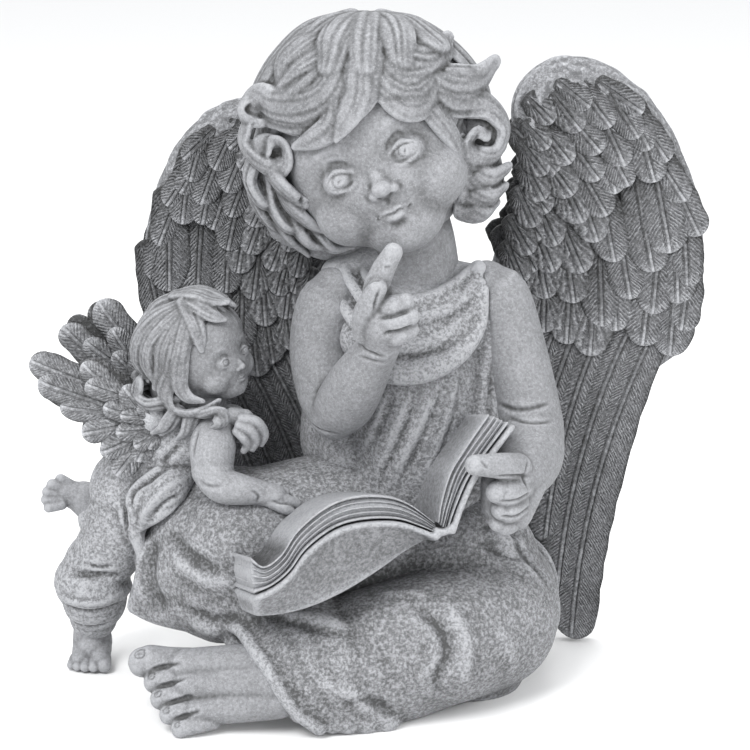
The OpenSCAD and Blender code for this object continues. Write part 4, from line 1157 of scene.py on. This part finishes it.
infantShape = {
    "body": [[[-70, -2, 113, 11], [-78, 3, 106, 14.5], [-88, 10, 96, 17], [-102, 14, 80, 18.5]],
        [[-103, 13, 74, 17], [-109, 12, 60, 15.5], [-116, 13, 48, 14], [-119, 14, 40, 13.5]],
        [[-118, 14, 46, 14.5], [-120, 14, 38, 17], [-120, 16, 30, 14]], [[-121, 18, 31, 12.5],
        [-121, 19, 21, 10.5]], [[-104, 24, 68, 13], [-113, 27, 56, 11.5], [-118, 27, 62, 9.5]],
        [[-77, -4, 93, 4.5], [-84, -8, 88, 8], [-91, -8, 79, 7], [-97, -7, 70, 2.2]], [[-86, -4, 88, 9],
        [-95, -3, 80, 8], [-99, -4, 68, 4], [-97, -6, 56, 2]], [[-60, 6, 111, 8], [-72, 2, 112, 9]]],
    "bodyFolds": [[1.5, 1.3, [[-78, -9, 92], [-85, -14, 89], [-92, -13, 81], [-97, -9, 72]]],
        [1.0, -1.7, [[-80, -12, 88], [-87, -15, 83], [-93, -13, 76]]], [1.3, 1.2, [[-81, -12, 84],
        [-87, -13, 78], [-94, -11, 71]]], [1.3, -1.8, [[-83, -9, 95], [-90, -8, 90], [-96, -5, 84],
        [-98, -5, 76]]], [1.6, 1.3, [[-84, -7, 98], [-93, -7, 92], [-100, -4, 84], [-101, -4, 74]]],
        [1.3, -1.6, [[-103, -4, 80], [-100, -3, 70], [-96, -3, 60]]], [1.5, 1.2, [[-106, -3, 80],
        [-104, -2, 69], [-99, 0, 58]]], [1.8, -2.0, [[-129, 4, 46], [-122, 1, 46], [-114, 1, 47],
        [-106, 5, 46]]], [1.5, -1.7, [[-131, 8, 34], [-124, 2, 31], [-115, 2, 31], [-108, 8, 35]]],
        [1.4, 1.0, [[-131, 10, 37], [-124, 0, 35], [-115, 0, 35], [-107, 8, 38]]],
        [1.2, -1.2, [[-122, 2, 52], [-116, -1, 50], [-109, 0, 52]]], [1.4, -1.3, [[-128, 12, 24],
        [-121, 8, 22], [-114, 10, 25]]], [1.6, -1.2, [[-78, -9, 108], [-84, -7, 102], [-88, -6, 96]]],
        [1.6, -1.4, [[-104, 22, 96], [-108, 26, 84], [-108, 30, 74]]], [1.6, -1.4, [[-94, 27, 92],
        [-98, 30, 80], [-98, 32, 68]]], [1.4, -1.2, [[-116, 27, 48], [-122, 28, 44], [-128, 24, 44]]]],
    "rightArm": [[[-64, -10, 114, 8], [-66, -16, 108, 9.5], [-66, -21, 99, 8.6]], [[-66, -21, 99, 8.6],
        [-62, -25, 94, 7.6], [-54, -27, 92.5, 6.4], [-46, -26, 91, 5]], [[-47, -26, 91, 5],
        [-41, -26, 89.5, 5]], [[-42, -27, 90, 3.6], [-36, -26, 87.5, 2.8], [-32, -24, 85.6, 2]],
        [[-42, -28, 88, 3], [-37, -29, 85.4, 2.5], [-34, -28, 83.6, 1.8]], [[-42, -24, 91, 2.8],
        [-37, -21, 89.6, 2.2]]],
    "rightLines": [[1.0, -1.0, [[-71, -19, 116], [-72, -21, 110], [-71, -22, 104]]],
        [0.7, -0.8, [[-50, -32, 94], [-47, -31, 91], [-48, -30, 88]]], [0.5, -0.7, [[-42, -31, 89.4],
        [-38, -30, 87.2], [-35, -28, 85.4]]], [1.0, -0.8, [[-71, -27, 97], [-66, -30, 95],
        [-60, -32, 96]]]],
    "leftArm": [[[-60, 2, 112, 6], [-56, -4, 111, 5.4], [-53, -8, 112, 4.4]], [[-53, -8, 112, 4.4],
        [-52, -11, 116, 3.8], [-53, -13, 119, 3.4]], [[-58, -13, 119.5, 3.6], [-53, -14, 118.5, 4]],
        [[-54, -17, 119.5, 2.2], [-48, -17, 118, 2.3], [-45, -15, 112.5, 2], [-46.5, -14, 108, 1.6]],
        [[-55, -18, 117, 2.2], [-50.5, -18.5, 115, 2.3], [-48.5, -17, 110.5, 2], [-50, -16, 106.5, 1.6]],
        [[-56, -18, 114.5, 2.1], [-53.5, -18.5, 112, 2.1], [-52, -17, 108.5, 1.8],
        [-53.5, -16, 105.5, 1.5]]],
    "standingFoot": [[[-121.5, 20, 30, 8.5], [-122, 20, 16, 8], [-122, 20, 9, 8.6]],
        [[-122, 24, 6.5, 6.5], [-122, 16, 7.5, 7.2]], [[-119.5, 17, 7, 6.2], [-117.5, 9, 4.5, 4.2]],
        [[-124.5, 17, 7, 6], [-126.5, 10, 4, 3.8]], [[-116.5, 11, 4.6, 3.5], [-115.6, 5.4, 3.6, 3.2]],
        [[-120.3, 10, 4.4, 2.7], [-120, 4.8, 3, 2.3]], [[-123.6, 10, 4.2, 2.5], [-123.8, 5.2, 2.8, 2.1]],
        [[-126.6, 11, 4, 2.4], [-127.2, 6.6, 2.6, 2]], [[-129, 12.6, 3.8, 2.3], [-130, 8.6, 2.4, 1.9]]],
    "raisedFoot": [[[-114, 27, 58, 8.5], [-119, 29, 65, 8], [-125, 30, 70.5, 7.4]], [[-124, 30, 70, 7.2],
        [-133, 29.5, 73.5, 5.4]], [[-131, 30, 76, 3], [-134.6, 29.6, 79, 2.5]], [[-133, 28, 74.4, 2.8],
        [-138, 27, 77.5, 2.5]], [[-134, 27, 72.6, 2.7], [-140, 26, 74.6, 2.4]], [[-134, 26, 71, 2.6],
        [-140.6, 25, 71.4, 2.3]], [[-134, 25, 69.4, 2.6], [-139.4, 24, 68.2, 2.3]]],
    "head": {"origin": [-68.5, -3, 143.2], "up": [-0.34, 0.02, 0.93], "out": [0.76, -0.6, 0.26],
        "size": 0.55, "neck": [[-70, 0, 112, 8.5], [-69, -1, 124, 8], [-70, -2, 130, 9]], "voxel": 0.38},
    "hairMiddle": [-76, -1, 143],
    "hairCap": [[-76, 1.5, 145.5], [20.4, 20.3, 20.8]],
    "hair": [[[-82, -6, 161, 2.5], [-90, -9, 157, 3.6], [-96, -8, 149, 3.8], [-97, -6, 140, 3.6],
        [-93, -8, 133, 1.4]], [[-80, -8, 160, 2.5], [-87, -13, 155, 3.4], [-92, -13, 148, 3.6],
        [-93, -11, 140, 3.4], [-90, -12, 133, 1.2]], [[-78, -9, 160, 2.4], [-83, -15, 154, 3.2],
        [-86, -17, 147, 3.4], [-87, -15, 139, 3], [-90, -12, 131, 1.2]], [[-77, -9, 160, 2.4],
        [-79, -16, 154, 3.2], [-81, -19, 146, 3.4], [-83, -17, 138, 3.2], [-86, -14, 130, 3],
        [-84, -13, 124, 2.8], [-78, -15, 122, 2.6], [-71, -17, 124, 2.4], [-66, -18, 128, 1.2]],
        [[-77, -9, 161, 2.4], [-77, -15, 155, 3], [-79, -18, 148, 3], [-80, -19, 140, 3],
        [-80, -18, 133, 2.8], [-77, -18, 129, 2.6], [-72, -19, 128, 1.2]], [[-78, -4, 163, 2.6],
        [-73, -10, 161, 3.4], [-68, -12, 158.5, 3], [-64, -12, 157, 1.2]], [[-79, -7, 162, 2.4],
        [-75, -14, 157, 3.2], [-73, -17, 152, 2.8], [-72, -18, 147, 1.2]], [[-82, 0, 163, 3],
        [-75, -4, 164, 4], [-69, -6, 162.5, 3.6], [-64, -7, 162.5, 2.2]], [[-82, 4, 163, 3],
        [-74, 4, 164, 4], [-67, 3, 162, 3.6], [-62, 0, 160, 2]], [[-84, -12, 126, 3.2],
        [-92, -10, 124, 3.6], [-97, -8, 127, 3.4], [-96, -9, 132, 2.4]], [[-82, -13, 122, 3],
        [-86, -11, 116, 3.2], [-91, -9, 113, 1.4]], [[-76, -14, 121, 3], [-78, -13, 115, 2.8],
        [-82, -11, 111, 1.2]], [[-72, -16, 122, 2.8], [-67, -19, 124, 3.2], [-65, -20, 120, 2.8],
        [-70, -16, 116, 1.2]], [[-92, -4, 134, 4], [-98, -2, 130, 3.6], [-100, -2, 124, 1.6]]],
    "hairGrown": [1.1, 1.1, 1.1, 1.0], "hairShift": [2, 0, 1.5, 0], "napeHair": [[-80, 0, 130],
        [13, 14, 14]],
    "backLocks": 9, "reach": 20.4, "backThin": [1, 1, 1, 0.5],
}


def makeInfantPart(name, node, key, folds="", look="skin", voxel=0.45, stands=False):
    # Tubes melted together, with folds or creases; a part that stands is flat where it meets the ground.
    skin = Relief(fused([tube(line, 26, 30) for line in infantShape[key]], voxel, 3))
    worked(skin, infantShape.get(folds, []))
    if stands:
        skin.at[:, 2] = np.maximum(skin.at[:, 2], 0.2)
        skin.settle()
    finish(name, skin.mesh, resin[look], [node], 0.12)


def makeInfantHair(surface):
    # The same kinds of lock as the child's, on a cap and a filling at the nape.
    lay = infantShape
    middle = lay["hairMiddle"]
    centre = [*middle, 0]
    back = backHair(lay, lay["hairCap"][0], 95, -0.35)
    front = [(np.array(line) - centre) * lay["hairGrown"] + centre + lay["hairShift"] for line in lay["hair"]]
    parts = [ball(*lay["hairCap"]), ball(*lay["napeHair"])]
    parts += [lockTube(lifted(line, surface), middle, 44, 60, 0.26, 0.5, 1.3) for line in front]
    parts += [lockTube(line * lay["backThin"], middle, 34, 44, 0.26) for line in back]
    finish("infantHair", fused(parts, 0.5, 1), resin["hair"], [])


makeInfantPart("infantRomper", "infant_body", "body", "bodyFolds", "cloth", 0.65)
makeInfantPart("infantRightArmSkin", "infant_right_arm", "rightArm", "rightLines")
makeInfantPart("infantLeftArmSkin", "infant_left_arm", "leftArm")
makeInfantPart("infantStandingFootSkin", "infant_standing_foot", "standingFoot", voxel=0.42, stands=True)
makeInfantPart("infantRaisedFootSkin", "infant_raised_foot", "raisedFoot")
infantSurface = makeFace("infantHeadSkin", infantShape["head"], (20, 30), "infant_head")
makeInfantHair(infantSurface)


infantWings = {
    # tip x, tip z, length, width, direction, fan barbs, how high it lies
    "near": [[-139, 144, 56, 15, 149, 0, 0.2], [-137, 133, 52, 15, 158, 0, 0.7],
        [-120, 112, 34, 13, 184, 0, 0.4], [-113, 104, 30, 13, 203, 0, 0.8],
        [-107, 93, 30, 14, 228, 0, 0.4], [-97, 98, 20, 13, 240, 0, 1.2], [-128, 124, 42, 13, 168, 0, 0.3],
        [-119, 141, 36, 12, 140, 0, 1.2], [-117, 134, 31, 12, 146, 0, 2.2],
        [-111, 122, 24, 10.5, 160, 0, 2.6], [-106, 111, 20, 10.5, 186, 0, 2.4],
        [-103, 131, 22, 12, 124, 0, 3.2], [-104, 119, 18, 8, 165, 0, 3.6],
        [-99, 106, 14, 10, 205, 0, 3.2], [-93, 104, 12, 10, 235, 0, 3.0], [-96, 124, 15, 9, 130, 0, 4.0]],
    "far": [[-116, 160, 54, 17, 122, 0, 0.2], [-128, 152, 56, 15, 136, 0, 0.4],
        [-119, 146, 42, 13, 134, 0, 1.4], [-109, 150, 38, 13, 120, 0, 1.8],
        [-108, 140, 28, 11, 128, 0, 2.6], [-100, 138, 24, 11, 112, 0, 2.8]],
    "stretch": [1, 1, 1.05, 0.84, 1, 1, 1],
}


def makeInfantWing(name, node, key, start, lean, seed):
    # A fan of feathers on both faces of a plane that leans: its depth is start + lean * (x + 88).
    depth = lambda x, z: start + lean * (x + 88)
    rows = np.array(infantWings[key], float) * infantWings["stretch"]
    front = featherShells(rows, depth, 1, 40, 13, 5, seed)
    back = featherShells(rows, depth, -1, 26, 9, 3, seed + 4)
    parts = [front[:2], (back[0], back[1][:, ::-1])]
    root = [[-84, 3, 108, 7], [-90, float(depth(-90, 118)), 116, 7], [-98, float(depth(-98, 124)), 124, 4]]
    parts.append(tube(root, 24, 24))
    featherMesh(name, parts, [front[2], back[2], plainShade(24 * 24, 0.0)], node, "paleFeather")


makeInfantWing("infantRightWingFeathers", "infant_right_wing", "near", -3, 0.2, 21)
makeInfantWing("infantLeftWingFeathers", "infant_left_wing", "far", 18, 0.1, 31)


# The CAD solids that still show, such as the plate underneath, get a resin too.
for node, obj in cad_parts.items():
    if not obj.material_slots:
        obj.data.materials.append(resin["skin"])
    for place in obj.material_slots:
        place.material = resin["plug"] if node == "base_plug" else resin["cloth"]


def plainMaterial(name, level):
    # A matt grey.
    s = Sheet(name)
    s.shader.inputs["Base Color"].default_value = (level, level, level, 1)
    s.shader.inputs["Roughness"].default_value = 0.9
    return s.material


stageSettings = {"floorHalf": 4.0, "floorLevel": 0.86, "distance": 1.0, "elevation": 15.0,
                 "aimHeight": 0.133, "viewWidth": 0.3075, "sensor": 36.0, "worldLevel": 1.06,
                 "lights": {             # where it hangs, where it aims, how wide and how strong it is
                     "key": [(-0.55, -0.9, 1.15), (0, 0, 0.12), 0.7, 19],
                     "fill": [(0.9, -0.8, 0.7), (0, 0, 0.14), 0.9, 7],
                     "top": [(0.1, 0.3, 1.4), (0, 0, 0.1), 0.8, 9]}}


def makeFloor():
    # A square of the half width each way.
    h = stageSettings["floorHalf"]
    corners = np.array([[-h, -h, 0], [h, -h, 0], [h, h, 0], [-h, h, 0]], float)
    mesh = bareMesh("floor", corners, np.array([[0, 1, 2, 3]]))
    mesh.materials.append(plainMaterial("paleFloor", stageSettings["floorLevel"]))
    floor = bpy.data.objects.new("floor", mesh)
    bpy.context.scene.collection.objects.link(floor)


def makeLight(name, position, target, size, power):
    # A round soft light, turned so that its own -Z points at its target.
    data = bpy.data.lights.new(name, "AREA")
    data.shape = "DISK"
    data.size = size
    data.energy = power
    light = bpy.data.objects.new(name, data)
    light.location = position
    aim = np.array(target, float) - np.array(position, float)
    light.rotation_euler = Vector(aim).to_track_quat("-Z", "Y").to_euler()
    bpy.context.scene.collection.objects.link(light)


def makeCamera():
    # Level with the aim plus distance * sin(elevation); the lens is sensor * distance / width of view.
    s = stageSettings
    tilt = math.radians(s["elevation"])
    data = bpy.data.cameras.new("camera")
    data.sensor_width = s["sensor"]
    data.lens = s["sensor"] * s["distance"] / s["viewWidth"]
    data.clip_end = 20
    camera = bpy.data.objects.new("camera", data)
    camera.location = (0, -s["distance"] * math.cos(tilt), s["aimHeight"] + s["distance"] * math.sin(tilt))
    camera.rotation_euler = (math.radians(90) - tilt, 0, 0)
    bpy.context.scene.collection.objects.link(camera)
    bpy.context.scene.camera = camera


def setView():
    # Colours are shown plainly, so that white is white.
    bpy.context.scene.view_settings.view_transform = "Standard"


def makeWorld(level):
    # Even pale light from all round.
    world = bpy.data.worlds.new("studio")
    world.use_nodes = True
    background = world.node_tree.nodes["Background"]
    background.inputs["Color"].default_value = (0.98, 0.99, 1.0, 1)
    background.inputs["Strength"].default_value = level
    bpy.context.scene.world = world


makeFloor()
setView()
for name, settings in stageSettings["lights"].items():
    makeLight(name, *settings)
makeWorld(stageSettings["worldLevel"])
makeCamera()
print("stage ready")
